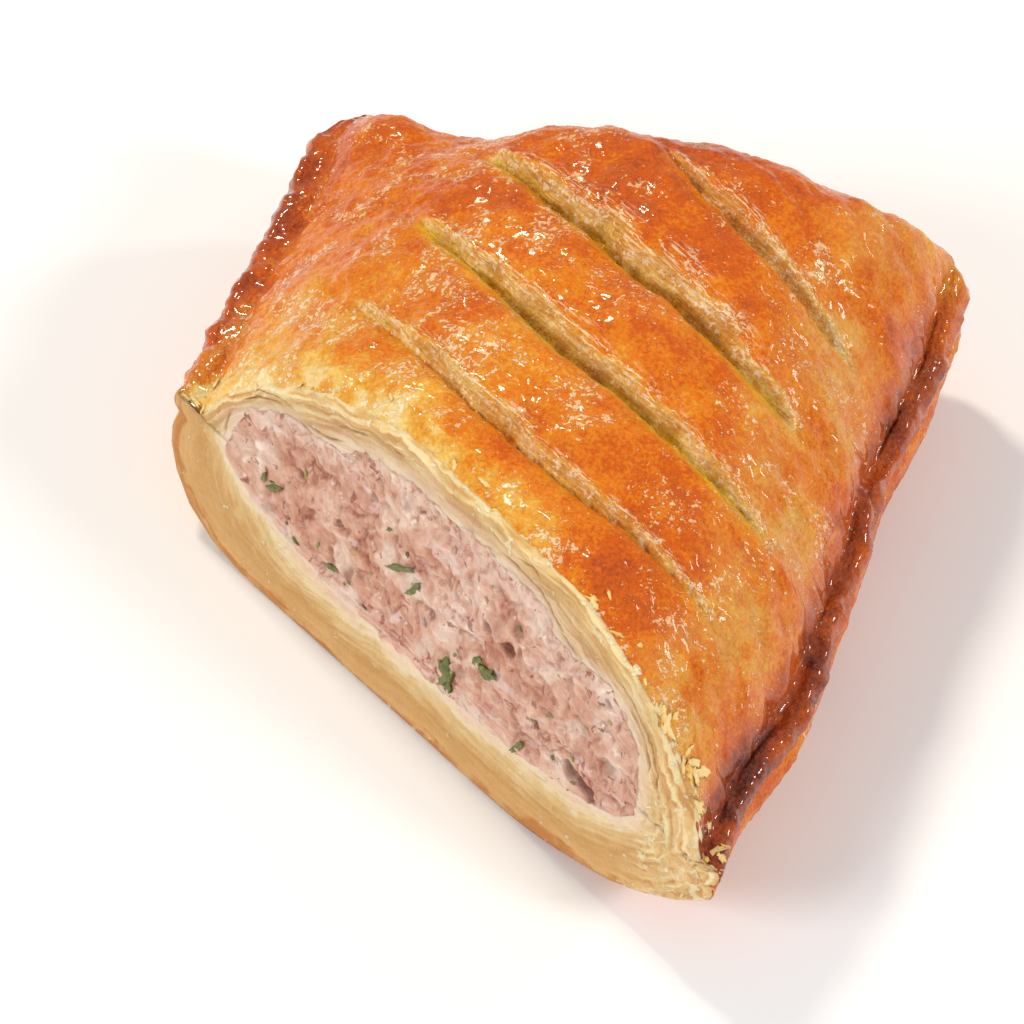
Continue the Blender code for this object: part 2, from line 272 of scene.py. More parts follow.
# Height that the lid gains between two neighbouring slashes: half a sine wave from one to the next
def stripSwell(back, along):
    swell = np.zeros(np.shape(back))
    for near, far in zip(roll["slashes"], roll["slashes"][1:]):
        share = (back - slashLine(near, along)) / (slashLine(far, along) - slashLine(near, along))
        swell = np.where((share > 0) & (share < 1), np.sin(np.pi * np.clip(share, 0, 1)) ** 0.7, swell)
    return roll["stripPuff"] * swell * hill(along, roll["puffMiddle"], roll["puffReach"]) ** 2


# Slashes: the near side rolls over like a quarter circle, the far side is a slope up to a raised
# lip. Returns the depth and the shares of far wall, floor, lip and frayed skin
def slashFurrow(back, along):
    depth, wall, floor, lip, fray = (np.zeros(np.shape(back)) for _ in range(5))
    ragged = gridNoise(flatPoints(along, back), np.shape(back), 3.0, 4, 11, (0.6, 1, 1))
    ragged = roll["slashRagged"] * ragged
    for slash in roll["slashes"]:
        width, deep, pale, olive = slash[4:]
        full = np.clip(1 - slashShare(slash, along) ** 2, 0, 1) ** 0.75
        gap = back - slashLine(slash, along)
        away = gap / (width * (0.25 + 0.75 * full))
        away = away + ragged * smoothStep(-np.abs(away), -2.5, -1)
        near = np.clip(1 + gap / roll["slashNear"], 0, 1)
        near = 0.35 * near ** 2 + 0.65 * (1 - np.sqrt(1 - near ** 2))
        far = np.clip(1 - away / roll["slashFar"], 0, 1) ** 1.15
        depth = np.maximum(depth, deep * full * np.where(away < 0, near, far))
        shown = smoothStep(full, 0.0, 0.35)
        wall = np.maximum(wall, pale * shown * band(away, -0.06, 0.08, 0.50, 0.74))
        floor = np.maximum(floor, olive * shown * np.where(gap < 0, hill(gap, 0, 1.3), hill(away, 0.0, 0.34)))
        lip = np.maximum(lip, shown * hill(away, 0.78, 0.16))
        fray = np.maximum(fray, shown * band(away, 0.45, 0.70, 0.8, 1.65))
    return {"depth": depth, "wall": wall, "floor": floor, "lip": lip, "fray": fray}


# Lid without its slashes: an arch from the left, right and closed sides
def plainLid(x, y):
    rise = arch(x - leftEdge(y), *roll["archLeft"])
    rise = rise * arch(rightEdge(y) - x, *roll["archRight"])
    rise = rise * arch(backY - y, *roll["archBack"])
    z = roll["rim"] + (roll["crown"] - roll["rim"]) * rise
    for hillX, hillY, height, width in roll["hills"] + roll["folds"]:
        z = z + height * hill(x, hillX, width) * hill(y, hillY, width)
    back, along = behindCut(x, y)
    bubbles = gridNoise(flatPoints(x, y), np.shape(x), 7.5, 2, 3)
    inside = np.minimum(rise * 3, 1)
    return z + stripSwell(back, along) - roll["sink"] * inside + roll["bubble"] * bubbles * inside


# Lid with its slashes and with its edge at the cut rounded down
def lidHeight(x, y):
    back, along = behindCut(x, y)
    z = plainLid(x, y)
    furrow = slashFurrow(back, along)
    z = z - furrow["depth"] + roll["slashLip"] * furrow["lip"]
    return z - roll["cutRound"] * hill(np.maximum(back - leanAt(z), 0), 0, 1.3)


# Point of the outer skin. Out moves it from the rim's line sideways and back, in the same ratio
# all round. The knife's lean shears each station by its height, fully at the cut
def skinPoint(across, out, height, along, isLid):
    x0, y0 = planPoint(across, along)
    x = x0 * (halfWidth + out) / halfWidth
    y = np.where(y0 > 0, y0 * (backY + out) / backY, y0)
    y = y + along * (cutLineY(x) - cutLineY(x0))
    back, alongCutPlace = behindCut(x, y)
    reach = np.clip(alongCutPlace / cutLength - roll["toeStart"], 0, None) / (1 - roll["toeStart"])
    lift = roll["toeLift"] * np.minimum(reach, 1) ** 2 * np.clip(1 - back / roll["toeReach"], 0, 1)
    z = height + np.where(height < roll["seam"], lift * (1 - height / roll["seam"]), 0)
    for _ in range(3):       # the lean needs the lid's height, and the height the lean
        leanX, leanY = leanBack(x, y, z, along)
        z = np.where(isLid, lidHeight(leanX, leanY), z)
    return np.stack([leanX, leanY, z], -1)


# Point of the knife's plane, at a distance along the cut and a height, or that far in front of it
def cutPoint(along, height, proud=0.0):
    x, y = (cutStart[axis] + alongCut[axis] * along for axis in range(2))
    point = np.stack([*leanBack(x, y, height), height], -1)
    return point + np.asarray(proud)[..., None] * knifeNormal


# Outline of the meat: a rounded box in polar form, its top lowered by two dips
def meatOutline(turn, along, grow=0.0, scale=1.0):
    cos, sin = np.cos(turn), np.sin(turn)
    wide = meatBar["half"] + grow / roll["width"]
    tall = np.where(sin > 0, meatBar["top"], meatBar["bottom"]) + grow
    across = wide * np.sign(cos) * np.abs(cos) ** meatBar["squareness"]
    height = tall * np.sign(sin) * np.abs(sin) ** meatBar["squareness"]
    upper = height * (1 + 0.12 * cos) + meatBar["lump"] * np.sin(3 * turn + 14 * along) * sin
    for place, deep, width in meatBar["dips"]:
        upper = upper - deep * hill(meatBar["centre"] + across, place, width)
    height = np.where(sin > 0, upper, height)
    return meatBar["centre"] + across * scale, meatBar["middle"] + height * scale


# Station and size of a ring of the meat bar, at a share of the way from its closed end to the cut:
# the size grows with the root of the share, as in a rounded end
def meatStation(share):
    size = meatBar["endSize"] + (1 - meatBar["endSize"]) * math.sqrt(min(share * meatBar["endTaper"], 1))
    return meatBar["end"] + (1 - meatBar["end"]) * share, min(size, 1)


# Ring of the meat bar at one station, sheared by the knife's lean
def meatRing(turn, along, grow, scale):
    across, height = meatOutline(turn, along, grow, scale)
    return np.stack([*leanBack(*planPoint(across, along), height, along), height], -1)


# Quads between rings that follow one another in one array of points
def loftQuads(ringCount, ringSize, first=0):
    ring = np.arange(ringCount - 1)[:, None] * ringSize + first
    side = np.arange(ringSize)[None, :]
    after = (side + 1) % ringSize
    corners = (ring + side, ring + ringSize + side, ring + ringSize + after, ring + after)
    return np.stack(corners, -1).reshape(-1, 4)


# Quads of a grid of point numbers
def gridQuads(numbers):
    corners = (numbers[:-1, :-1], numbers[1:, :-1], numbers[1:, 1:], numbers[:-1, 1:])
    return np.stack(corners, -1).reshape(-1, 4)


# Triangles from one ring of point numbers to a single point
def fanTriangles(ring, centre):
    return np.stack([ring, np.full_like(ring, centre), np.roll(ring, -1)], -1)


# Mean direction of the faces round each point
def pointNormals(points, quads):
    across = points[quads[:, 2]] - points[quads[:, 0]]
    down = points[quads[:, 3]] - points[quads[:, 1]]
    faceNormal = np.cross(across, down)
    total = np.zeros_like(points)
    for axis in range(3):
        weights = np.repeat(faceNormal[:, axis], 4)
        total[:, axis] = np.bincount(quads.ravel(), weights, len(points))
    length = np.linalg.norm(total, axis=1)[:, None]
    return total / np.maximum(length, 1e-9)


# Makes the mesh from arrays, with nothing below the ground. The faces are turned round where the
# volume they enclose, the sum of a . (b x c) / 6 over the triangles, is negative
def makePiece(name, points, quads, triangles=None, layers=None):
    triangles = np.zeros((0, 3), int) if triangles is None else triangles
    points = np.stack([points[:, 0], points[:, 1], np.maximum(points[:, 2], 0)], -1) * mm
    split = np.concatenate([quads[:, [0, 1, 2]], quads[:, [0, 2, 3]], triangles])
    a, b, c = (points[split[:, k]] for k in range(3))
    if np.sum(a * np.cross(b, c)) < 0:
        quads, triangles = quads[:, ::-1], triangles[:, ::-1]
    corners = np.concatenate([quads.ravel(), triangles.ravel()])
    sizes = np.concatenate([np.full(len(quads), 4), np.full(len(triangles), 3)])
    mesh = bpy.data.meshes.new(name)
    mesh.vertices.add(len(points))
    mesh.vertices.foreach_set("co", points.astype(np.float32).ravel())
    mesh.loops.add(len(corners))
    mesh.loops.foreach_set("vertex_index", corners.astype(np.int32))
    mesh.polygons.add(len(sizes))
    mesh.polygons.foreach_set("loop_start", np.concatenate([[0], np.cumsum(sizes)[:-1]]).astype(np.int32))
    mesh.update(calc_edges=True)
    mesh.shade_smooth()
    for layer, values in (layers or {}).items():
        stored = mesh.attributes.new(layer, "FLOAT", "POINT")
        stored.data.foreach_set("value", np.asarray(values, np.float32))
    mesh.validate()
    piece = bpy.data.objects.new(name, mesh)
    bpy.context.scene.collection.objects.link(piece)
    print(f"{name}: {len(split)} triangles")
    return piece


# Crust: the outer skin, the cut face's rim and the hollow for the meat, as one closed shell.
# Relief is in millimetres
crustGrid = {
    "lidColumns": 188,
    "beltRows": 38,
    "stations": 214,
    "faceRings": 4,
    "hollowRings": 9,
    "hollowGrow": 0.25,
    "wrinkle": 0.24,         # on the lid, drawn out along the slashes
    "grain": 0.14,
    "pucker": 0.40,          # thin creases of the lid, in patches
    "slashRidges": 0.24,     # fine ridges on the far wall of a slash
    "rimLumps": 0.66,
    "rimFolds": 0.45,        # wrinkles that run in from the right rim
    "sideLeaves": 0.30,      # thin leaves of pastry along the side
    "sideGrain": 0.14,
    # browner and paler places: along the cut, behind it, how much, width
    "tones": ((57, 8, 0.15, 8), (38, 9, 0.13, 6), (20, 40, 0.03, 14), (52, 41, -0.05, 7), (64, 26, 0.10, 8),
              (30, 17, -0.10, 5)),
    # places crowded with pale flakes and painted glints: along the cut, behind it, how much, width
    "flakeAndGlintCrowd": ((27, 17, 1.0, 6), (13, 21, 0.9, 8), (9, 8, 0.7, 6), (40, 16, 0.6, 4), (62, 27, 0.3, 6),
               (67, 15, 0.4, 5), (72, 32, 0.3, 6), (10, 36, 0.8, 8), (24, 27, 0.7, 6), (36, 52, 0.4, 7),
               (2, 48, 0.6, 15), (0, 22, 0.6, 10)),
    "cutFlakesAndGlints": 0.9,        # more of them along the edge of the cut
}


# Sum of hills over places given along the cut and behind it
def hillSum(places, back, along):
    total = np.zeros(np.shape(back))
    for placeAlong, placeBack, strength, width in places:
        total = total + strength * hill(along, placeAlong, width) * hill(back, placeBack, width)
    return total


# Side profile at even steps of its length
def beltProfile(rows):
    belt = np.array(roll["belt"], float)
    length = np.concatenate([[0], np.cumsum(np.linalg.norm(np.diff(belt, axis=0), axis=1))])
    steps = np.linspace(0, length[-1], rows + 1)
    return np.interp(steps, length, belt[:, 0]), np.interp(steps, length, belt[:, 1])


# Arrays that run once round the section: lid left to right, right side, base, left side
def sectionLoop():
    columns, rows = crustGrid["lidColumns"], crustGrid["beltRows"]
    out, height = beltProfile(rows)
    lid = np.linspace(0, 1, columns + 1)
    base = np.linspace(1, 0, columns // 2 + 1)
    inner = slice(1, rows)
    across = np.concatenate([lid, np.ones(rows - 1), base, np.zeros(rows - 1)])
    outs = np.concatenate([lid * 0, out[inner], base * 0 + out[-1], out[inner][::-1]])
    heights = np.concatenate([lid * 0 + height[0], height[inner], base * 0, height[inner][::-1]])
    isLid = np.concatenate([lid * 0 + 1, np.zeros(rows - 1), base * 0, np.zeros(rows - 1)]) > 0
    return across, outs, heights, isLid


# Distance along the cut and height of points on the knife's plane
def faceCoordinates(points):
    return behindCut(points[:, 0], points[:, 1])[1], points[:, 2]


# Meat outline's angle parameter for directions seen from the middle of the cut
def outlineTurn(direction, grow):
    turn = np.linspace(-np.pi, np.pi, 4001)
    across, height = meatOutline(turn, 1.0, grow)
    seen = np.arctan2(height - meatBar["middle"], (across - meatBar["centre"]) * cutLength)
    ahead = (turn - seen + np.pi) % (2 * np.pi) - np.pi
    return direction + np.interp(direction, seen, ahead, period=2 * np.pi)


# How brown the skin is, 0 pale to 1 burnt
browning = {
    "middle": 0.52,
    "broad": 0.10,           # slow and quick changes
    "quick": 0.07,
    "closedEnd": 0.10,       # browner on the lid towards the closed end
    "nearCut": 0.26,         # paler behind the cut, in a broad band and in a narrow one
    "edgeOfCut": 0.10,
    "crumbly": 0.30,         # pale crumbs at the edge
    "slashWall": 0.30,
    "slashFloor": 0.20,
    "slashLip": 0.14,
    "rightRim": (0.15, 0.13, 0.12),          # all along, in patches, towards the cut
    "otherRims": (0.06, 0.20),               # all along, in patches
    "rimSpot": (33.0, 5.5, 0.10),            # x, y, how much
    "dullFlank": 0.18,
    "closedCorner": (34, 40, 0.32),          # paler there: x, y, how much
    "seam": 0.22,
    "side": (0.02, 0.12),                    # all over, in thin leaves
    "underside": 0.10,
}


# Distance in from the right edge, a little uneven
def inFromRight(points):
    x, y = points.T[:2]
    return rightEdge(y) - x + 1.6 * fractalNoise(points, 5.0, 3, 26)


# The dull tan band between the strips and the right rim
def dullFlank(points):
    patchy = smoothStep(fractalNoise(points, 7, 3, 27), -0.8, 0.2)
    return hill(inFromRight(points), 6.0, 4.5) * smoothStep(points[:, 2], 15, 18) * patchy


# Where the rim has browned most and shines: near any outer edge, at the rim's height
def rimShine(points):
    x, y, z = points.T
    edge = np.minimum(np.minimum(rightEdge(y) - x, x - leftEdge(y)), backY - y)
    return smoothStep(-edge, -5, -1.8) * band(z, 11.5, 12.8, 15.5, 21)


# Browning of the skin from where a point lies: the middle tone, with each part's share added
def browningAt(points, behindKnife, alongPlace):
    x, y, z = points.T
    look = browning
    back, along = behindCut(x, y)
    furrow = slashFurrow(back, along)
    onLid = smoothStep(z, 14.6, 17.5)
    behind = np.maximum(behindKnife, 0)
    tone = look["middle"] + look["broad"] * fractalNoise(points, 15, 3, 21)
    tone = tone + look["quick"] * fractalNoise(points, 4.5, 3, 22)
    places = hillSum(crustGrid["tones"], back, along)
    tone = tone + (look["closedEnd"] * smoothStep(y, 5, 40) + places) * onLid
    fadeIn = np.maximum(behindKnife + 2.4 * fractalNoise(points, 6, 2, 23), 0)
    tone = tone - look["nearCut"] * np.exp(-fadeIn / 6.5) * smoothStep(-alongPlace, -64, -32)
    tone = tone - look["edgeOfCut"] * np.exp(-fadeIn / 3)
    crumbs = smoothStep(fractalNoise(points, 3.4, 3, 28), -0.15, 0.40) * smoothStep(-alongPlace, -60, -30)
    tone = tone - look["crumbly"] * crumbs * hill(behind, 0, 3.2)
    for name, mask in (("slashWall", "wall"), ("slashFloor", "floor"), ("slashLip", "lip")):
        tone = tone - look[name] * furrow[mask] * onLid
    patches = smoothStep(fractalNoise(points * [1, 0.45, 1], 6.5, 3, 24), -0.35, 0.35)
    rim = smoothStep(-inFromRight(points), -4.6, -1.8) * band(z, 11.9, 12.8, 15.5, 20)
    evenly, inPatches, nearCut = look["rightRim"]
    tone = tone + rim * (evenly + inPatches * patches + nearCut * smoothStep(-y, 0, 20))
    spotX, spotY, more = look["rimSpot"]
    tone = tone + more * hill(x, spotX, 3.6) * hill(y, spotY, 4.5) * smoothStep(z, 12.5, 14)
    tone = tone - look["dullFlank"] * dullFlank(points)
    spotX, spotY, less = look["closedCorner"]
    tone = tone - less * hill(x, spotX, 5) * hill(y, spotY, 5) * smoothStep(z, 12.5, 15)
    leftRim = hill(np.maximum(x - leftEdge(y), 0), 0, 3.5) * band(z, 11.5, 13, 14, 19)
    backRim = hill(np.maximum(backY - y, 0), 0, 2.5) * band(z, 12, 13.5, 14.5, 19)
    evenly, inPatches = look["otherRims"]
    tone = tone + np.maximum(leftRim, backRim) * (evenly + inPatches * patches)
    tone = tone + look["seam"] * hill(z, roll["seam"], 0.55) * (1 - onLid)
    evenly, inLeaves = look["side"]
    leaves = evenly + inLeaves * fractalNoise(points * [0.25, 0.25, 1], 2.2, 3, 25)
    tone = tone + (1 - onLid) * smoothStep(-z, -11.5, -10.5) * leaves
    return tone + look["underside"] * smoothStep(-z, -1.2, -0.2)


# Rings of points from the closed end's skin to the cut, on across its face and back through the
# hollow, then the wall of the closed end. Returns points, quads, triangles, a mask of the skin and
# the skin's ring at the cut
def buildCrust():
    across, outs, heights, isLid = sectionLoop()
    columns, rows, stations = crustGrid["lidColumns"], crustGrid["beltRows"], crustGrid["stations"]
    ringSize = len(across)
    along = np.linspace(0, 1, stations + 1)[:, None]
    shape = (stations + 1, ringSize)
    skin = skinPoint(*(np.broadcast_to(part, shape) for part in (across, outs, heights, along, isLid)))
    rings = [skin.reshape(-1, 3)]
    # rim of the cut face, drawn in to the hollow
    alongCutPlace, height = faceCoordinates(skin[-1])
    middleAlong = meatBar["centre"] * cutLength
    direction = np.arctan2(height - meatBar["middle"], alongCutPlace - middleAlong)
    turn = outlineTurn(direction, crustGrid["hollowGrow"])
    innerAcross, innerHeight = meatOutline(turn, 1.0, crustGrid["hollowGrow"])
    for ring in range(1, crustGrid["faceRings"] + 1):
        share = ring / crustGrid["faceRings"]
        rings.append(cutPoint(alongCutPlace + (innerAcross * cutLength - alongCutPlace) * share,
                              height + (innerHeight - height) * share))
    # hollow, from the cut to the closed end
    for ring in range(1, crustGrid["hollowRings"] + 1):
        station, scale = meatStation(1 - ring / crustGrid["hollowRings"])
        rings.append(meatRing(turn, station, crustGrid["hollowGrow"], scale))
    points = np.concatenate(rings)
    ringCount = len(points) // ringSize
    quads = [loftQuads(ringCount, ringSize)]
    last = (ringCount - 1) * ringSize + np.arange(ringSize)
    # closed end: columns of the side profile between the lid's and the base's back edges
    out, beltHeight = beltProfile(rows)
    inside = np.linspace(0, 1, columns + 1)[1:-1]
    wallShape = (rows - 1, columns - 1)
    wall = skinPoint(np.broadcast_to(inside, wallShape), np.broadcast_to(out[1:rows, None], wallShape),
                     np.broadcast_to(beltHeight[1:rows, None], wallShape), np.zeros(wallShape), False)
    wallFirst = len(points)
    points = np.concatenate([points, wall.reshape(-1, 3), points[last].mean(0)[None]])
    numbers = np.zeros((rows, columns + 1), int)
    numbers[0] = np.arange(columns + 1)
    numbers[1:, 1:-1] = wallFirst + np.arange((rows - 1) * (columns - 1)).reshape(wallShape)
    row = np.arange(1, rows)
    numbers[1:, -1] = columns + row
    numbers[1:, 0] = ringSize - row
    quads.append(gridQuads(numbers)[:, ::-1])
    baseRow = columns + rows + np.arange(columns // 2 + 1)[::-1]
    low = numbers[-1]
    pair = np.arange(columns // 2)
    stitch = np.concatenate([
        np.stack([low[2 * pair], low[2 * pair + 1], baseRow[pair]], -1),
        np.stack([low[2 * pair + 1], baseRow[pair + 1], baseRow[pair]], -1),
        np.stack([low[2 * pair + 1], low[2 * pair + 2], baseRow[pair + 1]], -1),
    ])
    triangles = np.concatenate([stitch, fanTriangles(last, len(points) - 1)])
    quads = np.concatenate(quads)
    skinCount = (stations + 1) * ringSize
    isSkin = np.zeros(len(points))
    isSkin[:skinCount] = 1
    isSkin[wallFirst:-1] = 1
    return points, quads, triangles, isSkin, skin[-1]


# Relief of the skin: wrinkles and grain on the lid, lumps on the rim, thin leaves on the side
def skinRelief(points, behindKnife):
    x, y, z = points.T
    back, along = behindCut(x, y)
    furrow = slashFurrow(back, along)
    onLid = smoothStep(z, 13.6, 17)
    drawn = np.stack([along * 0.45, back, z], -1)
    lid = crustGrid["wrinkle"] * fractalNoise(drawn, 2.3, 3, 31)
    lid = lid + crustGrid["grain"] * fractalNoise(points, 1.1, 2, 32)
    runIn = gradientNoise(points * [0.1, 0.5, 0.2], 70)
    lid = lid + crustGrid["rimFolds"] * hill(rightEdge(y) - x, 4.5, 4.0) * runIn
    patchy = smoothStep(fractalNoise(points, 14, 2, 29), -0.3, 0.3)
    lid = lid + crustGrid["pucker"] * np.abs(gradientNoise(drawn / 3.4, 30)) * patchy
    ridges = fractalNoise(np.stack([along * 0.12, back, z], -1), 0.9, 2, 33)
    lid = lid * (1 - 0.6 * furrow["floor"])
    lid = lid + crustGrid["slashRidges"] * np.maximum(furrow["wall"], 0.8 * furrow["fray"]) * ridges
    edge = np.minimum(rightEdge(y) - x, x - leftEdge(y))
    rim = hill(np.minimum(edge, backY - y), 0.5, 4) * band(z, 12.2, 13, 15, 20)
    lumps = fractalNoise(points, 4.6, 3, 34) + 0.35 * np.abs(gradientNoise(points / 2.5, 35))
    leaves = sheetEdges(z / 1.15 + 0.9 * fractalNoise(points * [0.12, 0.12, 0.3], 1.0, 2, 36))
    leaves = leaves * (0.6 + 0.6 * fractalNoise(points * [0.5, 0.5, 1], 3.0, 2, 37))
    rim = rim * (1 + 0.5 * (np.abs(gradientNoise(points / 1.3, 39)) - 0.2))
    side = crustGrid["sideLeaves"] * leaves + crustGrid["sideGrain"] * fractalNoise(points, 1.6, 2, 38)
    side = side * smoothStep(z, 0.6, 2.5)
    relief = onLid * lid + (1 - onLid) * side + crustGrid["rimLumps"] * rim * lumps
    return relief * smoothStep(behindKnife, 0.0, 1.2) * smoothStep(z, 0.05, 0.6)


print("building the crust")
points, quads, triangles, isSkin, sectionEnd = buildCrust()
back, alongPlace = behindCut(points[:, 0], points[:, 1])
behindKnife = back - leanAt(points[:, 2])
points += pointNormals(points, quads) * (skinRelief(points, behindKnife) * isSkin)[:, None]
toFrame = np.array([-0.95, -0.03, 0.0])     # the solids stand centred over the origin
furrow = slashFurrow(back, alongPlace)
inSlash = smoothStep(points[:, 2], 17, 20)
# How crowded the pale flakes and painted glints are
crowded = hillSum(crustGrid["flakeAndGlintCrowd"], back, alongPlace)
crowded = crowded + crustGrid["cutFlakesAndGlints"] * hill(np.maximum(behindKnife, 0), 0, 2.6)
crustLayers = {
    "browning": np.where(isSkin > 0, browningAt(points, behindKnife, alongPlace), 0.12),
    "cutFace": 1 - isSkin,
    "slashWall": furrow["wall"] * inSlash,
    "slashFloor": furrow["floor"] * inSlash,
    "slashFray": furrow["fray"] * inSlash,
    "rimShine": rimShine(points),
    "dull": dullFlank(points),
    "flakeAndGlintCrowd": crowded * smoothStep(points[:, 2], 14, 18),
}
crust = makePiece("crust", points + toFrame, quads, triangles, crustLayers)


# Ring of evenly spaced points along a closed outline in the knife's plane
def evenRing(outline, count):
    closed = np.concatenate([outline, outline[:1]])
    length = np.concatenate([[0], np.cumsum(np.linalg.norm(np.diff(closed, axis=0), axis=1))])
    steps = np.linspace(0, length[-1], count, endpoint=False)
    return np.stack([np.interp(steps, length, closed[:, axis]) for axis in range(2)], -1)


# Cut surface of the pastry: a thin ring of dough with its leaves standing a little proud
cutDough = {
    "round": 660,
    "rings": 66,
    "thickness": 0.5,
    "inset": 0.10,           # from the crust's skin
    "fringe": 0.45,          # raggedness of the lid's edge
    "lidLeaves": 0.40,       # relief of the leaves, in the lid and in the base
    "baseLeaves": 0.07,
    "grain": 0.07,
    "waves": 0.10,
    "crumbs": 0.55,
    "lumps": 0.6,            # at the right end
    "crack": 0.35,
    "proud": 0.05,           # of the crust's cut face, as the least
    # creases of the lid: how far from the meat, waviness, its size, width, seeds, where they show
    "cracks": ((1.6, 0.6, 9, 0.12, 47, (6, 48, -0.1)), (2.9, 0.7, 7, 0.10, 40, (5, 41, 0))),
}


# Its points run round the ring and from the skin in to the meat. Leaves follow the distance from
# the skin, dough near the meat stays smooth
def buildCutDough(sectionEnd):
    alongCutPlace, height = faceCoordinates(sectionEnd)
    count = cutDough["round"]
    outer = evenRing(np.stack([alongCutPlace, height], -1), count)
    toMiddle = np.array([meatBar["centre"] * cutLength, meatBar["middle"]]) - outer
    turn = outlineTurn(np.arctan2(-toMiddle[:, 1], -toMiddle[:, 0]), 0.05)
    innerAcross, innerHeight = meatOutline(turn, 1.0, 0.05)
    inner = np.stack([innerAcross * cutLength, innerHeight], -1)
    span = np.linalg.norm(inner - outer, axis=1)
    ringLength = np.sum(np.linalg.norm(np.diff(outer, axis=0), axis=1))
    fringe = cutDough["fringe"] * fractalNoise(flatPoints(*outer.T), 1.7, 3, 49)
    fringe = fringe * smoothStep(outer[:, 1], 12, 16)
    outer = outer + (inner - outer) / span[:, None] * (cutDough["inset"] - np.maximum(fringe, -0.1))[:, None]
    share = np.linspace(0, 1, cutDough["rings"] + 1)[:, None]
    flat = outer[None] + (inner - outer)[None] * share[..., None]
    shape = flat.shape[:2]
    place = flatPoints(flat[..., 0], flat[..., 1])
    fromSkin, fromMeat = share * span[None], (1 - share) * span[None]
    lid = smoothStep(np.broadcast_to(outer[:, 1], shape), 13.0, 16.0)
    right = smoothStep(flat[..., 0], cutLength * 0.84, cutLength * 0.93)
    leafy = np.clip(1 - fromSkin / (np.maximum(span, 1)[None] * 0.62), 0, 1) ** 0.7
    drawn = flatPoints(np.linspace(0, ringLength, count), fromSkin)
    drawn = drawn + 0.35 * fractalNoise(place, 3.0, 2, 42)[:, None] * [0, 1, 0]
    leaves = np.clip(0.5 + 0.75 * gridNoise(drawn, shape, 0.75, 3, 43, (0.10, 1, 1)), 0, 1)
    least, most = cutDough["baseLeaves"], cutDough["lidLeaves"]
    strength = least + (most - least) * np.maximum(lid * leafy, 0.5 * right)
    relief = strength * (leaves - 0.3) + cutDough["grain"] * gridNoise(place, shape, 0.7, 2, 44)
    relief = relief + cutDough["waves"] * gridNoise(place, shape, 3.5, 2, 45)
    crumbs = np.maximum(right, 0.8 * lid * np.exp(-fromSkin / 0.9))
    relief = relief + cutDough["crumbs"] * crumbs * np.maximum(gridNoise(place, shape, 1.5, 3, 46) + 0.25, 0)
    relief = relief + cutDough["lumps"] * right * np.maximum(gridNoise(place, shape, 4.0, 2, 50), 0)
    crack = np.zeros(shape)
    for away, wavy, size, width, seed, (patchSize, patchSeed, low) in cutDough["cracks"]:
        line = hill(fromMeat, away + wavy * gridNoise(place, shape, size, 2, seed), width)
        shown = smoothStep(gridNoise(place, shape, patchSize, 1, patchSeed), low, 0.3)
        crack = np.maximum(crack, line * shown)
    crack = crack * lid
    relief = (relief - cutDough["crack"] * crack + 0.20) * smoothStep(fromSkin, 0, 0.7)
    front = cutPoint(flat[..., 0], flat[..., 1], np.maximum(relief, 0) + cutDough["proud"])
    rear = [cutPoint(edge[:, 0], edge[:, 1], -cutDough["thickness"])[None] for edge in (outer, inner)]
    rings = np.concatenate([rear[0], front, rear[1]])
    first, side = (len(rings) - 1) * count, np.arange(count)
    after = (side + 1) % count
    back = np.stack([first + side, side, after, first + after], -1)
    layers = {
        "lidPart": lid * (1 - right),
        "fluff": np.maximum(lid * leafy * (0.4 + 0.6 * leaves), right),
        "leafEdge": np.clip(leaves * strength / 0.3, 0, 1),
        "skinNear": np.exp(-fromSkin / (0.5 + 0.9 * (1 - lid))),
        "meatNear": hill(np.maximum(fromMeat - 0.4, 0), 0, 1.1) * (1 - 0.5 * lid),
        # mask of the painted shade in the cracks
        "crack": crack,
        "leafTone": leaves,
        "inward": share + 0 * span[None],
    }
    for name, values in layers.items():     # the two rear rings repeat the front's first and last
        layers[name] = np.concatenate([values[:1], values, values[-1:]]).ravel()
    return rings.reshape(-1, 3), np.concatenate([loftQuads(len(rings), count), back]), layers


print("building the cut dough")
points, quads, doughLayers = buildCutDough(sectionEnd)
cutPastry = makePiece("cutPastry", points + toFrame, quads, None, doughLayers)


# Sausage meat: a closed bar whose cut face carries lumps, grains, fibres and small holes
meatGrid = {
    "faceColumns": 380,
    "faceRows": 120,
    "bodyRings": 9,
    "proud": 0.42,           # of the knife's plane, in the mean and at the most
    "most": 1.05,
    "rimProud": 0.40,
    "lumps": 0.30,
    "grains": 0.26,
    "folds": 0.36,
    "fineGrains": 0.09,
    "tears": 0.30,
    "spread": 1.0,           # how far the smeared edge reaches over the dough
    "fibres": 0.16,
    "pits": 0.30,
    # place along the cut, height, half length, half height, depth
    "crevice": (0.777, 10.6, 0.045, 1.0, 1.3),
    # place along the cut, height, half width, depth
    "holes": ((0.621, 18.0, 1.3, 1.0), (0.582, 18.6, 0.9, 0.7), (0.312, 15.2, 1.0, 0.7),
              (0.235, 17.2, 0.8, 0.6), (0.36, 21.6, 0.8, 0.5), (0.70, 14.8, 0.8, 0.6),
              (0.49, 14.6, 0.7, 0.6)),
}


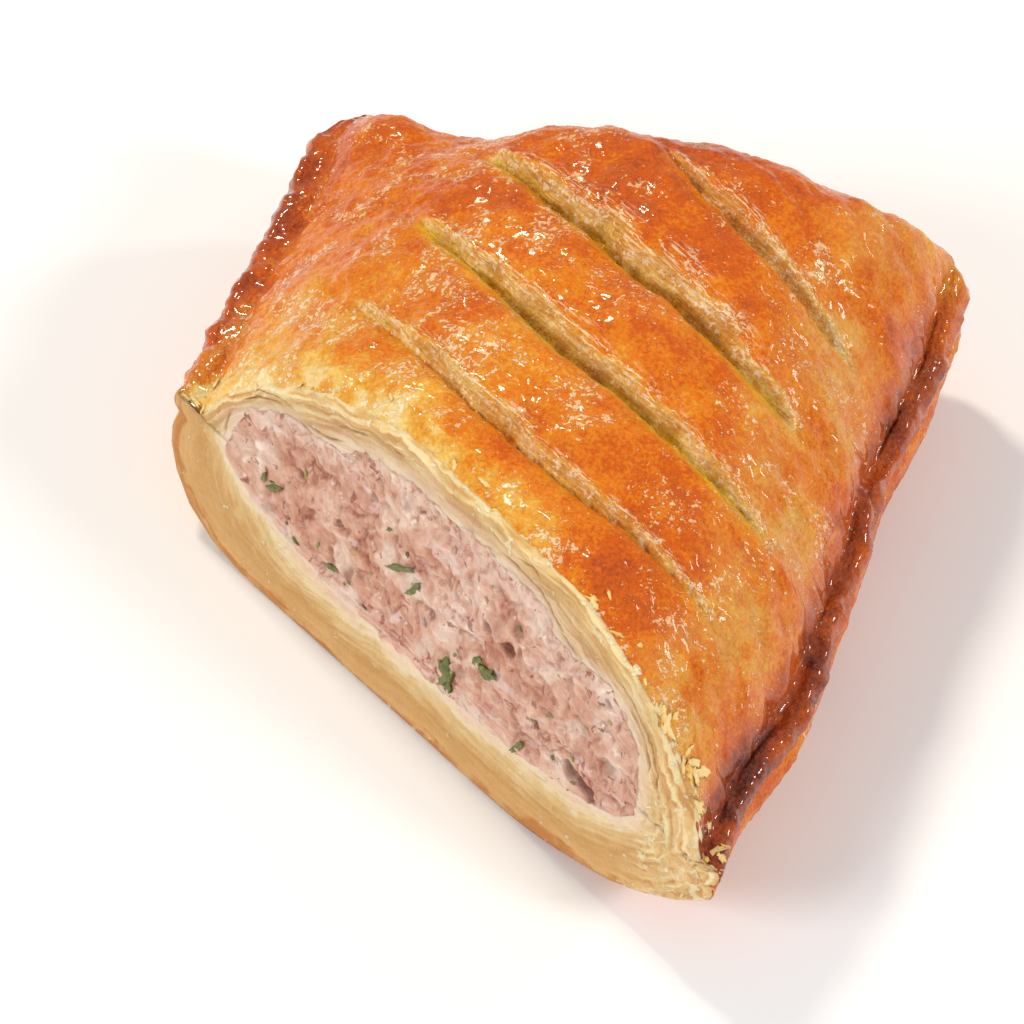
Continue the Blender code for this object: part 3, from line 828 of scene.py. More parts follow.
# The cut face is a square grid drawn in to a disc and stretched to the outline. Rings run back from
# its border to the closed end. Relief is a sum of noises, less the holes and tears
def buildMeat():
    columns, rows = meatGrid["faceColumns"], meatGrid["faceRows"]
    u, v = np.meshgrid(np.linspace(-1, 1, columns + 1), np.linspace(-1, 1, rows + 1))
    discX, discY = squareToDisc(u, v)
    turn, radius = np.arctan2(discY, discX), np.hypot(discX, discY)
    across, height = meatOutline(turn, 1.0)
    across = meatBar["centre"] + (across - meatBar["centre"]) * radius
    height = meatBar["middle"] + (height - meatBar["middle"]) * radius
    shape = across.shape
    place = flatPoints(across * cutLength, height)
    warp = place + 0.9 * np.stack([fractalNoise(place, 3.2, 2, seed) for seed in (51, 52, 53)], -1)
    cellEdge, cellTone = (values.reshape(shape) for values in cellNoise(warp * [1, 1.25, 1], 3.4, 54)[1:])
    edgeShare = 1 - radius
    lumps = meatGrid["lumps"] * gridNoise(place, shape, 4.6, 3, 56, (1, 1.3, 1))
    torn = gridNoise(warp, shape, 3.0, 3, 55)
    tear = hill(torn, 0, 0.06) * smoothStep(gridNoise(place, shape, 4.5, 2, 63), -0.25, 0.30)
    folds = 0.5 - np.abs(gridNoise(warp, shape, 2.4, 2, 65, (0.8, 1.2, 1)))
    folds = folds * smoothStep(gridNoise(place, shape, 5.5, 2, 67, (0.6, 1, 1)), -0.35, 0.45)
    grains = meatGrid["grains"] * (smoothStep(np.abs(torn), 0, 0.6) - 0.5) - meatGrid["folds"] * folds
    fine = meatGrid["fineGrains"] * gridNoise(place, shape, 0.8, 3, 64, (0.7, 1, 1))
    # Tone of the lumps: with the grains, and darker in the folds as painted shade
    rough = grains / meatGrid["grains"] * 0.35 + fine / meatGrid["fineGrains"] * 0.35 - folds * 0.5
    fibreBand = smoothStep(gridNoise(place, shape, 5, 1, 57, (0.3, 1, 1)), -0.7, 0.1)
    fibreBand = fibreBand * smoothStep(-v, 0.45, 0.85)
    fibre = sheetEdges(height / 0.62 + 0.7 * gridNoise(place, shape, 3.2, 2, 58, (0.35, 1, 1)))
    pit = np.clip(0.30 - cellNoise(warp, 4.2, 59)[0].reshape(shape), 0, 1) / 0.30
    pit = smoothStep(pit, 0.0, 0.8) * smoothStep(gridNoise(place, shape, 9, 1, 60), -0.5, 0.2)
    hole = np.zeros(shape)
    ragged = 0.35 * gridNoise(place, shape, 1.2, 2, 61)
    for holeAlong, holeHeight, half, deep in meatGrid["holes"]:
        far = np.hypot((across - holeAlong) * cutLength, (height - holeHeight) * 1.2)
        hole = np.maximum(hole, deep * smoothStep(ragged - far, -half, -0.35 * half))
    cutAlong, cutHeight, halfLong, halfTall, deep = meatGrid["crevice"]
    far = np.hypot((across - cutAlong) / halfLong, (height - cutHeight + (across - cutAlong) * 22) / halfTall)
    hole = np.maximum(hole, deep * smoothStep(0.35 * gridNoise(place, shape, 1.6, 2, 62) - far, -1, -0.25))
    relief = meatGrid["proud"] + lumps + (grains + fine) * (1 - 0.6 * fibreBand)
    relief = relief + meatGrid["fibres"] * fibre * fibreBand - meatGrid["pits"] * pit
    relief = np.minimum(relief, meatGrid["most"]) - hole - meatGrid["tears"] * tear
    inside = smoothStep(edgeShare, 0.0, 0.07)
    relief = relief * inside + meatGrid["rimProud"] * (1 - inside) * smoothStep(edgeShare, 0.0, 0.012)
    spread = meatGrid["spread"] * (0.45 + gridNoise(place, shape, 2.6, 3, 66))
    spread = spread * smoothStep(radius, 0.80, 0.985)
    outward = np.stack([(across - meatBar["centre"]) * cutLength, height - meatBar["middle"]], -1)
    outward /= np.linalg.norm(outward, axis=-1)[..., None] + 1e-6
    face = cutPoint(across * cutLength + outward[..., 0] * spread, height + outward[..., 1] * spread, relief)
    numbers = np.arange(across.size).reshape(shape)
    border = np.concatenate([numbers[0, :-1], numbers[:-1, -1], numbers[-1, :0:-1], numbers[:0:-1, 0]])
    rings = []
    for ring in range(1, meatGrid["bodyRings"] + 1):
        station, size = meatStation((1 - ring / meatGrid["bodyRings"]) ** 1.4)
        rings.append(meatRing(turn.ravel()[border], station, 0.0, size))
    points = np.concatenate([face.reshape(-1, 3)] + rings + [rings[-1].mean(0)[None]])
    firstRing, side = numbers.size, np.arange(len(border))
    after = (side + 1) % len(border)
    quads = [gridQuads(numbers),
             np.stack([border[side], border[after], firstRing + after, firstRing + side], -1),
             loftQuads(meatGrid["bodyRings"], len(border), firstRing)[:, ::-1]]
    last = firstRing + (meatGrid["bodyRings"] - 1) * len(border) + side
    triangles = fanTriangles(last, len(points) - 1)[:, ::-1]
    layers = {
        # painted shade in the torn creases
        "creaseShade": tear,
        # with the grains, darker in the folds as painted shade, and a random tone for each cell
        "lumpToneAndShade": 0.56 + 0.24 * rough + 0.16 * (cellTone - 0.5),
        # painted shade in the holes and pits
        "hollow": np.clip(hole / 0.7 + 0.8 * pit, 0, 1),
        "fatty": smoothStep(cellTone, 0.78, 0.86) * smoothStep(cellEdge, 0.05, 0.3),
        "lowerRim": smoothStep(-v, -0.15, 0.75) * smoothStep(radius, 0.72, 0.97),
        "upperRim": smoothStep(v, 0.3, 0.9) * smoothStep(radius, 0.75, 0.98),
        "fibre": fibreBand * fibre,
    }
    hidden = np.full(len(points) - firstRing, 0.3)
    layers = {name: np.concatenate([values.ravel(), hidden]) for name, values in layers.items()}
    return points, np.concatenate(quads), triangles, layers, (across, height, relief)


print("building the meat")
points, quads, triangles, meatLayers, meatFace = buildMeat()
filling = makePiece("filling", points + toFrame, quads, triangles, meatLayers)


# Herb flecks: place along the cut, height, length, width, turn in degrees
herbs = {
    "large": ((0.528, 9.8, 4.0, 2.2, 65), (0.535, 8.9, 2.6, 1.3, 100), (0.596, 13.7, 3.2, 1.3, 15),
              (0.578, 14.2, 1.6, 1.0, 60), (0.187, 13.2, 3.0, 1.0, 20), (0.175, 13.6, 1.4, 0.8, 80),
              (0.426, 16.8, 4.2, 0.7, 30), (0.452, 15.6, 2.6, 0.7, 60), (0.670, 9.0, 2.6, 0.9, 55),
              (0.312, 10.0, 2.0, 0.6, 10)),
    "tiny": 24,
    "tear": 0.55,            # raggedness of the outline
    "grid": (13, 7),
}


# Height of the meat's relief at places on its cut face, from the nearest grid point
def reliefAt(along, height):
    faceAcross, faceHeight, relief = (part[::3, ::3].ravel() for part in meatFace)
    gap = (faceAcross[None] - along[:, None]) ** 2 * cutLength ** 2
    gap = gap + (faceHeight[None] - height[:, None]) ** 2
    return relief[np.argmin(gap, axis=1)]


# One thin scrap for each row of scraps: a top and a bottom sheet share their rim, the outline is an
# oval with a torn edge, and both sheets bend with the same slow waves
def buildScraps(middles, axes, lengths, widths, lifts, thickness, tear, seed, grid):
    columns, rows = grid
    u, v = np.meshgrid(np.linspace(-1, 1, columns), np.linspace(-1, 1, rows))
    discX, discY = (values.ravel() for values in squareToDisc(u, v))
    rimShare = np.hypot(discX, discY)
    isRim = (np.abs(u) == 1).ravel() | (np.abs(v) == 1).ravel()
    count, size = len(middles), columns * rows
    shift = np.arange(count)[:, None] * 13.7
    place = flatPoints(discX[None] * 1.7 + shift, discY[None] * 1.7 + shift * 0.3)
    ragged = 1 + tear * gridNoise(place, (count, size), 1.0, 2, seed) * rimShare
    wave = 0.5 * gridNoise(place * 0.5, (count, size), 1.0, 2, seed + 1)
    x = discX[None] * ragged * lengths[:, None] / 2
    y = discY[None] * ragged * widths[:, None] / 2
    first, second, third = axes
    base = middles[:, None] + x[..., None] * first[:, None] + y[..., None] * second[:, None]
    height = lifts[:, None] + wave * widths[:, None] * 0.4
    half = thickness[:, None] / 2 * (1 - 0.7 * rimShare[None] ** 2)
    top = base + (height + half)[..., None] * third[:, None]
    bottom = base + (height - half)[..., None] * third[:, None]
    numbers = np.arange(size).reshape(rows, columns)
    topQuads = gridQuads(numbers)
    inner = np.flatnonzero(~isRim)
    under = np.arange(size)
    under[inner] = size + np.arange(len(inner))
    bottomQuads = under[topQuads][:, ::-1]
    both = np.concatenate([topQuads, bottomQuads])
    step = size + len(inner)
    quads = (both[None] + np.arange(count)[:, None, None] * step).reshape(-1, 4)
    points = np.concatenate([top, bottom[:, inner]], axis=1).reshape(-1, 3)
    tone = np.repeat(cellTable[np.arange(count) % tableSize, 0], step)
    rim = np.concatenate([rimShare, rimShare[inner]])
    return points, quads, {"tone": tone, "rim": np.tile(rim, count)}


# Axes of scraps that lie on the knife's plane, turned in it: cos * along + sin * up, and square to it
def faceAxes(turn):
    along = np.array([alongCut[0], alongCut[1], 0.0])
    up = np.cross(along, knifeNormal)
    first = np.cos(turn)[:, None] * along + np.sin(turn)[:, None] * up
    second = np.cross(knifeNormal[None], first)
    return first, second, np.broadcast_to(knifeNormal, first.shape)


# The large flecks stand where their table says, the tiny ones are spread evenly over the meat: at
# the root of an even draw of the radius
def buildHerbs():
    random = np.random.default_rng(31)
    large = np.array(herbs["large"])
    tinyTurn = random.uniform(0, 2 * np.pi, herbs["tiny"])
    tinyRadius = 0.90 * np.sqrt(random.uniform(0.02, 1, herbs["tiny"]))
    tinyAcross, tinyHeight = meatOutline(tinyTurn, 1.0)
    tinyAcross = meatBar["centre"] + (tinyAcross - meatBar["centre"]) * tinyRadius
    tinyHeight = meatBar["middle"] + (tinyHeight - meatBar["middle"]) * tinyRadius
    along = np.concatenate([large[:, 0], tinyAcross])
    height = np.concatenate([large[:, 1], tinyHeight])
    lengths = np.concatenate([large[:, 2], random.uniform(0.4, 1.1, herbs["tiny"])])
    widths = np.concatenate([large[:, 3], random.uniform(0.25, 0.5, herbs["tiny"])])
    turn = np.concatenate([np.radians(-large[:, 4]), random.uniform(0, np.pi, herbs["tiny"])])
    middles = cutPoint(along * cutLength, height)
    lifts = reliefAt(along, height) + 0.05 + 0.04 * widths
    thickness = np.minimum(0.30, 0.14 + 0.08 * widths)
    points, quads, layers = buildScraps(middles, faceAxes(turn), lengths, widths, lifts, thickness,
                                        herbs["tear"], 71, herbs["grid"])
    size = len(points) // len(along)
    placed = np.arange(len(points)) < size * len(large)
    layers["tone"] = np.where(placed, 0.30, layers["tone"]) + 0.25 * layers["rim"]
    return points, quads, layers


points, quads, herbLayers = buildHerbs()
herbFlecks = makePiece("herbFlecks", points + toFrame, quads, None, herbLayers)


# Loose flakes of pastry along the upper edge of the cut and at its two ends
flakes = {
    "edge": 14,
    "ends": 34,
    "tear": 0.6,
    "grid": (9, 6),
}


# Middles, axes and sizes of the flakes: each lies flat on the skin's slope, turned at random and
# tipped a little
def buildFlakes():
    random = np.random.default_rng(47)
    alongEdge = random.uniform(0.03, 0.97, flakes["edge"]) * cutLength
    atLeft = random.random(flakes["ends"]) < 0.25
    leftPlace = random.uniform(0.0, 0.05, flakes["ends"])
    rightPlace = random.uniform(0.86, 1.0, flakes["ends"])
    alongs = np.concatenate([alongEdge, np.where(atLeft, leftPlace, rightPlace) * cutLength])
    spreads = np.repeat([1.1, 1.5], [flakes["edge"], flakes["ends"]])
    backs = np.abs(random.normal(0, spreads))
    x, y = (cutStart[axis] + alongCut[axis] * alongs + intoRoll[axis] * backs for axis in range(2))
    x, y = leanBack(x, y, plainLid(x, y) - roll["cutRound"])
    step = 0.3
    slopeX = (lidHeight(x + step, y) - lidHeight(x - step, y)) / (2 * step)
    slopeY = (lidHeight(x, y + step) - lidHeight(x, y - step)) / (2 * step)
    third = np.stack([-slopeX, -slopeY, np.ones_like(x)], -1) + random.normal(0, 0.22, (len(x), 3))
    third /= np.linalg.norm(third, axis=1)[:, None]
    turn = random.normal(0, 0.6, len(x))
    start = np.stack([np.cos(turn - cutAngle), np.sin(turn - cutAngle), np.zeros_like(turn)], -1)
    second = np.cross(third, start)
    second /= np.linalg.norm(second, axis=1)[:, None]
    first = np.cross(second, third)
    lengths = random.uniform(0.7, 2.2, len(x))
    lengths[flakes["edge"]:] *= 1.4
    widths = lengths * random.uniform(0.25, 0.6, len(x))
    middles = np.stack([x, y, lidHeight(x, y)], -1)
    lifts = random.uniform(-0.02, 0.12, len(x))
    thickness = random.uniform(0.07, 0.12, len(x))
    return buildScraps(middles, (first, second, third), lengths, widths, lifts, thickness, flakes["tear"], 81,
                       flakes["grid"])


points, quads, flakeLayers = buildFlakes()
pastryFlakes = makePiece("pastryFlakes", points + toFrame, quads, None, flakeLayers)


# Screen values of 0 to 255 as linear light: divided by 12.92 when dark, otherwise to the power 2.4
def colour(red, green, blue):
    screen = np.array([red, green, blue]) / 255
    linear = np.where(screen > 0.04045, ((screen + 0.055) / 1.055) ** 2.4, screen / 12.92)
    return (*(float(part) for part in linear), 1.0)


# Sets inputs by name: a socket is linked from, a number or colour becomes the value
def setInputs(tree, node, inputs):
    for name, value in inputs.items():
        if isinstance(value, bpy.types.NodeSocket):
            tree.links.new(value, node.inputs[name])
        else:
            node.inputs[name].default_value = value


# Adds a node: settings first, because some inputs depend on them
def addNode(tree, kind, inputs=None, **settings):
    node = tree.nodes.new(kind)
    for name, value in settings.items():
        setattr(node, name, value)
    setInputs(tree, node, inputs or {})
    return node


# One sum on up to three values: MULTIPLY_ADD is first * second + third
def combine(tree, operation, first, second=0.0, third=0.0):
    return addNode(tree, "ShaderNodeMath", {0: first, 1: second, 2: third}, operation=operation).outputs[0]


# base + (noise - 0.5) * strength, so that the noise adds as much as it takes
def addNoise(tree, base, noise, strength):
    centred = combine(tree, "SUBTRACT", noise, 0.5)
    return combine(tree, "MULTIPLY_ADD", centred, strength, base)


# Coordinates with x turned along the cut, then scaled: a scale below 1 draws a pattern out
def drawnOut(tree, place, scale):
    values = {"Vector": place, "Rotation": (0.0, 0.0, -cutAngle)}
    turned = addNode(tree, "ShaderNodeMapping", values, vector_type="TEXTURE").outputs[0]
    return addNode(tree, "ShaderNodeMapping", {"Vector": turned, "Scale": scale}).outputs[0]


# Noise of 0 to 1 whose features are about the given size in millimetres
def noiseAt(tree, place, size, detail=3.0, distortion=0.0, roughness=0.55):
    values = {"Vector": place, "Scale": 1 / (size * mm), "Detail": detail, "Distortion": distortion,
              "Roughness": roughness}
    return addNode(tree, "ShaderNodeTexNoise", values).outputs["Fac"]


# Looks a value up in tones: each is a place from 0 to 1 with red, green and blue
def ramp(tree, value, tones):
    node = addNode(tree, "ShaderNodeValToRGB", {"Fac": value})
    node.color_ramp.interpolation = "EASE"
    elements = node.color_ramp.elements
    while len(elements) < len(tones):
        elements.new(0.5)
    for element, (place, *screen) in zip(elements, tones):
        element.position = place
        element.color = colour(*screen)
    return node.outputs["Color"]


# Smooth step from lowest, where the value is low, to highest, where it is high
def smoothRange(tree, value, low, high, lowest=0.0, highest=1.0):
    values = {"Value": value, "From Min": low, "From Max": high, "To Min": lowest, "To Max": highest}
    return addNode(tree, "ShaderNodeMapRange", values, interpolation_type="SMOOTHSTEP").outputs["Result"]


# first * (1 - factor) + second * factor
def mixColour(tree, factor, first, second):
    return addNode(tree, "ShaderNodeMix", {0: factor, 6: first, 7: second}, data_type="RGBA").outputs[2]


# Lays over on under, as much as mask * strength says
def paint(tree, under, mask, strength, over):
    return mixColour(tree, combine(tree, "MULTIPLY", mask, strength), under, over)


# A number that the mesh holds at each point
def attribute(tree, name):
    return addNode(tree, "ShaderNodeAttribute", attribute_name=name).outputs["Fac"]


# Slopes of a height in metres, as a normal
def bumped(tree, height, strength=1.0):
    values = {"Height": height, "Strength": strength, "Distance": 1.0}
    return addNode(tree, "ShaderNodeBump", values).outputs["Normal"]


# Group with named sockets: ins are name, kind and start value, outs are name and kind
def makeGroup(name, ins, outs):
    tree = bpy.data.node_groups.new(name, "ShaderNodeTree")
    for label, kind, value in ins:
        socket = tree.interface.new_socket(name=label, in_out="INPUT", socket_type=f"NodeSocket{kind}")
        if value is not None:
            socket.default_value = value
    for label, kind in outs:
        tree.interface.new_socket(name=label, in_out="OUTPUT", socket_type=f"NodeSocket{kind}")
    return tree, tree.nodes.new("NodeGroupInput"), tree.nodes.new("NodeGroupOutput")


# Material with one shader, and the object coordinates that its patterns read
def newMaterial(name):
    material = bpy.data.materials.new(name)
    material.use_nodes = True
    tree = material.node_tree
    tree.nodes.clear()
    shader = tree.nodes.new("ShaderNodeBsdfPrincipled")
    output = tree.nodes.new("ShaderNodeOutputMaterial")
    tree.links.new(shader.outputs["BSDF"], output.inputs["Surface"])
    place = tree.nodes.new("ShaderNodeTexCoord").outputs["Object"]
    return material, tree, shader, place


# Irregular spots where fine noise passes a limit, which falls as the place gets more crowded
def makeSpotGroup():
    ins = (("Vector", "Vector", None), ("Scale", "Float", 2000.0), ("Crowd", "Float", 0.5))
    tree, start, end = makeGroup("paleSpots", ins, (("Mask", "Float"),))
    values = {"Vector": start.outputs["Vector"], "Scale": start.outputs["Scale"], "Detail": 2.0,
              "Roughness": 0.6}
    fine = addNode(tree, "ShaderNodeTexNoise", values).outputs["Fac"]
    crowd = combine(tree, "MINIMUM", start.outputs["Crowd"], 1.1)
    limit = combine(tree, "MULTIPLY_ADD", crowd, -0.17, 0.74)
    spots = smoothRange(tree, combine(tree, "SUBTRACT", fine, limit), 0.0, 0.05)
    tree.links.new(spots, end.inputs["Mask"])
    return tree


spotGroup = makeSpotGroup()


# Mask of pale spots of about the given size in millimetres
def spotMask(tree, place, size, crowd):
    values = {"Vector": place, "Scale": 1 / (size * mm), "Crowd": crowd}
    return addNode(tree, "ShaderNodeGroup", values, node_tree=spotGroup).outputs["Mask"]


# Baked pastry. Sizes and heights are in millimetres, and tones are place, red, green, blue
bakeLook = {
    "tones": ((0.00, 240, 208, 146), (0.14, 236, 192, 100), (0.30, 228, 158, 54), (0.46, 222, 122, 26),
              (0.62, 204, 90, 18), (0.78, 172, 74, 30), (0.92, 138, 60, 36), (1.00, 98, 44, 32)),
    "mottleSize": 5.0,
    "mottle": 0.36,          # how much a noise changes the tone
    "speckSize": 1.5,
    "speck": 0.40,
    "fineSize": 0.42,
    "fine": 0.50,
    "blisterSize": 0.62,
    "blister": 0.15,         # heights of the relief
    "poreSize": 0.22,
    "pore": 0.034,
    "flakeAndGlintSizes": (0.42, 0.66),      # pale flakes and painted glints, which gather in patches
    "flakeAndGlintTones": ((0.2, 255, 240, 200), (0.75, 250, 204, 146)),
    "flakeAndGlint": 0.68,
    "flakeHeight": 0.06,
    "patchSize": 5.5,
    "patches": (0.44, 0.66, 0.16, 0.95),     # range of the noise, least and most pale flakes and painted glints
    "roughness": (0.42, 0.64),
    "gloss": 0.55,
}


# Baked surface: noises break the browning up before it is looked up in the tones, then pale flakes with
# painted glints are laid on
def makeBakedGroup():
    ins = (("Vector", "Vector", None), ("Browning", "Float", 0.5), ("FlakesAndGlints", "Float", 1.0))
    outs = (("Color", "Color"), ("Roughness", "Float"), ("Coat", "Float"), ("Height", "Float"))
    tree, start, end = makeGroup("bakedSurface", ins, outs)
    place = start.outputs["Vector"]
    mottle = noiseAt(tree, place, bakeLook["mottleSize"], 4.0, 0.6)
    speck = noiseAt(tree, place, bakeLook["speckSize"], 4.0, 0.4, 0.65)
    fine = noiseAt(tree, place, bakeLook["fineSize"], 3.0)
    tone = start.outputs["Browning"]
    for noise, name in ((mottle, "mottle"), (speck, "speck"), (fine, "fine")):
        tone = addNoise(tree, tone, noise, bakeLook[name])
    blister = smoothRange(tree, noiseAt(tree, place, bakeLook["blisterSize"], 3.0, 0.2), 0.35, 0.75)
    tone = combine(tree, "MULTIPLY_ADD", blister, -0.03, tone)
    patch = smoothRange(tree, noiseAt(tree, place, bakeLook["patchSize"], 4.0, 0.4), *bakeLook["patches"])
    patch = combine(tree, "MULTIPLY", patch, start.outputs["FlakesAndGlints"])
    flakeAndGlint = combine(tree, "MAXIMUM", *(spotMask(tree, place, size, patch) for size in bakeLook["flakeAndGlintSizes"]))
    shade = ramp(tree, tone, bakeLook["tones"])
    # Pale flakes, partly painted glints, in the pale tones
    shade = paint(tree, shade, flakeAndGlint, bakeLook["flakeAndGlint"], ramp(tree, tone, bakeLook["flakeAndGlintTones"]))
    height = combine(tree, "MULTIPLY", blister, bakeLook["blister"] * mm)
    pore = noiseAt(tree, place, bakeLook["poreSize"], 2.0)
    height = combine(tree, "MULTIPLY_ADD", pore, bakeLook["pore"] * mm, height)
    height = combine(tree, "MULTIPLY_ADD", flakeAndGlint, bakeLook["flakeHeight"] * mm, height)
    roughness = smoothRange(tree, speck, 0.3, 0.7, *bakeLook["roughness"])
    coat = combine(tree, "MULTIPLY", smoothRange(tree, mottle, 0.35, 0.6, 0.4, 1.0), bakeLook["gloss"])
    for socket, name in ((shade, "Color"), (roughness, "Roughness"), (coat, "Coat"), (height, "Height")):
        tree.links.new(socket, end.inputs[name])
    return tree


bakedGroup = makeBakedGroup()

# What the crust adds to the baked surface: tones, strengths with colours, and heights
crustLook = {
    "sheetTones": ((0.12, 176, 100, 44), (0.40, 206, 138, 66), (0.58, 226, 178, 112), (0.78, 246, 224, 186)),
    "oliveTones": ((0.3, 186, 128, 10), (0.7, 226, 184, 40)),
    "insideTones": ((0.3, 214, 170, 104), (0.6, 236, 204, 146)),
    "sheets": 0.85,
    "olive": 0.80,
    "crumbs": (0.75, colour(255, 240, 218)),
    "dull": (0.36, colour(208, 142, 90)),
    "fray": (0.75, colour(252, 232, 190)),
    "browningFlakesAndGlints": (1.0, 0.5, 0.25, 1.0),     # fewer pale flakes and painted glints where the crust is dark
    "frayFlakesAndGlints": 0.6,
    "crowdedFlakesAndGlints": 1.3,
    "sheetHeight": 0.20,
    "rimBlisterSize": 0.8,
    "rimBlister": 0.46,
    "lessCoat": 0.8,         # in the slashes
}


# The crust: baked tones, pale sheets in the slashes, and an olive yellow bottom in the deep ones
def makeCrustMaterial():
    material, tree, shader, place = newMaterial("bakedPastry")
    names = ("browning", "slashWall", "slashFloor", "slashFray", "rimShine")
    browning, wall, floor, fray, rimShine = (attribute(tree, name) for name in names)
    # How crowded the pale flakes and painted glints are
    crowd = smoothRange(tree, browning, *crustLook["browningFlakesAndGlints"])
    crowd = combine(tree, "MULTIPLY_ADD", fray, crustLook["frayFlakesAndGlints"], crowd)
    crowd = combine(tree, "MULTIPLY_ADD", attribute(tree, "flakeAndGlintCrowd"), crustLook["crowdedFlakesAndGlints"], crowd)
    baked = addNode(tree, "ShaderNodeGroup", {"Vector": place, "Browning": browning, "FlakesAndGlints": crowd},
                    node_tree=bakedGroup).outputs
    sheets = noiseAt(tree, drawnOut(tree, place, (0.10, 1.5, 1.5)), 0.42, 4.0, 0.3)
    blotch = noiseAt(tree, drawnOut(tree, place, (0.35, 1.0, 1.0)), 1.4, 3.0, 0.5)
    pale = ramp(tree, addNoise(tree, sheets, blotch, 0.9), crustLook["sheetTones"])
    pale = paint(tree, pale, spotMask(tree, place, 0.75, 0.95), *crustLook["crumbs"])
    shade = paint(tree, baked["Color"], attribute(tree, "dull"), *crustLook["dull"])
    shade = paint(tree, shade, wall, crustLook["sheets"], pale)
    shade = paint(tree, shade, floor, crustLook["olive"], ramp(tree, blotch, crustLook["oliveTones"]))
    frayLines = combine(tree, "MULTIPLY", smoothRange(tree, sheets, 0.52, 0.60), fray)
    shade = paint(tree, shade, frayLines, *crustLook["fray"])
    shade = mixColour(tree, attribute(tree, "cutFace"), shade, ramp(tree, sheets, crustLook["insideTones"]))
    lines = combine(tree, "MULTIPLY", sheets, crustLook["sheetHeight"] * mm)
    height = combine(tree, "MULTIPLY_ADD", lines, combine(tree, "MAXIMUM", wall, fray), baked["Height"])
    blisters = noiseAt(tree, place, crustLook["rimBlisterSize"], 4.0, 0.3, 0.68)
    blisters = combine(tree, "MULTIPLY", blisters, rimShine)
    height = combine(tree, "MULTIPLY_ADD", blisters, crustLook["rimBlister"] * mm, height)
    coat = combine(tree, "MULTIPLY_ADD", wall, -crustLook["lessCoat"], 1.0)
    coat = combine(tree, "MULTIPLY_ADD", baked["Coat"], coat, rimShine)
    setInputs(tree, shader, {
        "Base Color": shade, "Roughness": baked["Roughness"], "Normal": bumped(tree, height),
        "Coat Weight": combine(tree, "MINIMUM", coat, 1.0), "Coat Roughness": 0.08, "Coat IOR": 1.38,
        "Specular IOR Level": 0.06})
    return material


# Cut dough: bands from the skin in to the meat, and what lies on them with strengths and colours
doughLook = {
    "baseTones": ((0.00, 194, 124, 50), (0.13, 216, 164, 98), (0.40, 204, 152, 84),
                  (0.66, 222, 184, 124), (0.84, 240, 214, 172), (1.0, 236, 192, 166)),
    "lidTones": ((0.00, 226, 174, 82), (0.20, 218, 174, 108), (0.50, 200, 154, 104),
                 (0.75, 216, 176, 136), (1.0, 236, 204, 172)),
    "leafTones": ((0.15, 184, 132, 76), (0.50, 220, 178, 118), (0.85, 246, 226, 180)),
    "softTones": ((0.0, 206, 152, 88), (0.35, 230, 190, 128), (0.8, 248, 226, 176)),
    "leaves": (0.10, 0.26),          # on the base and on the lid
    "soft": 0.8,
    "crumbs": (0.6, colour(252, 234, 192)),
    "meatNear": (0.6, colour(246, 222, 194)),
    # Painted shade in the cracks of the lid
    "crack": colour(160, 112, 74),
    "crowd": (0.30, 0.35, 0.55),     # of crumbs: everywhere, more near the skin, more in the loose dough
    "grainHeight": 0.30,
    "crumbHeight": 0.12,
}


# The dough is looked up by how far in it lies, clouded by noise, with faint leaves, crumbs and painted shade
# in the cracks
def makeDoughMaterial():
    material, tree, shader, place = newMaterial("cutDough")
    names = ("inward", "leafTone", "leafEdge", "lidPart", "fluff")
    inward, leafTone, leafEdge, lidPart, fluff = (attribute(tree, name) for name in names)
    cloudy = noiseAt(tree, place, 4.5, 3.0, 0.5)
    crumb = noiseAt(tree, place, 0.8, 4.0, 0.6)
    for noise, strength in ((cloudy, 0.55), (crumb, 0.12), (leafTone, 0.10)):
        inward = addNoise(tree, inward, noise, strength)
    base, lid = (ramp(tree, inward, doughLook[name]) for name in ("baseTones", "lidTones"))
    shade = mixColour(tree, lidPart, base, lid)
    leaf = ramp(tree, addNoise(tree, leafTone, crumb, 0.6), doughLook["leafTones"])
    shade = mixColour(tree, smoothRange(tree, lidPart, 0.0, 1.0, *doughLook["leaves"]), shade, leaf)
    fewest, nearSkin, loose = doughLook["crowd"]
    crowd = combine(tree, "MULTIPLY_ADD", attribute(tree, "skinNear"), nearSkin, fewest)
    crumbs = spotMask(tree, place, 1.1, combine(tree, "MULTIPLY_ADD", fluff, loose, crowd))
    soft = ramp(tree, addNoise(tree, leafEdge, crumb, 0.9), doughLook["softTones"])
    shade = paint(tree, shade, fluff, doughLook["soft"], soft)
    shade = paint(tree, shade, crumbs, *doughLook["crumbs"])
    shade = paint(tree, shade, attribute(tree, "meatNear"), *doughLook["meatNear"])
    # Painted shade in the cracks
    shade = mixColour(tree, attribute(tree, "crack"), shade, doughLook["crack"])
    height = combine(tree, "MULTIPLY", crumb, doughLook["grainHeight"] * mm)
    height = combine(tree, "MULTIPLY_ADD", crumbs, doughLook["crumbHeight"] * mm, height)
    setInputs(tree, shader, {
        "Base Color": shade, "Roughness": smoothRange(tree, crumb, 0.3, 0.7, 0.40, 0.62),
        "Normal": bumped(tree, height), "Subsurface Weight": 0.3, "Subsurface Radius": (1.0, 0.6, 0.3),
        "Subsurface Scale": 0.002})
    return material


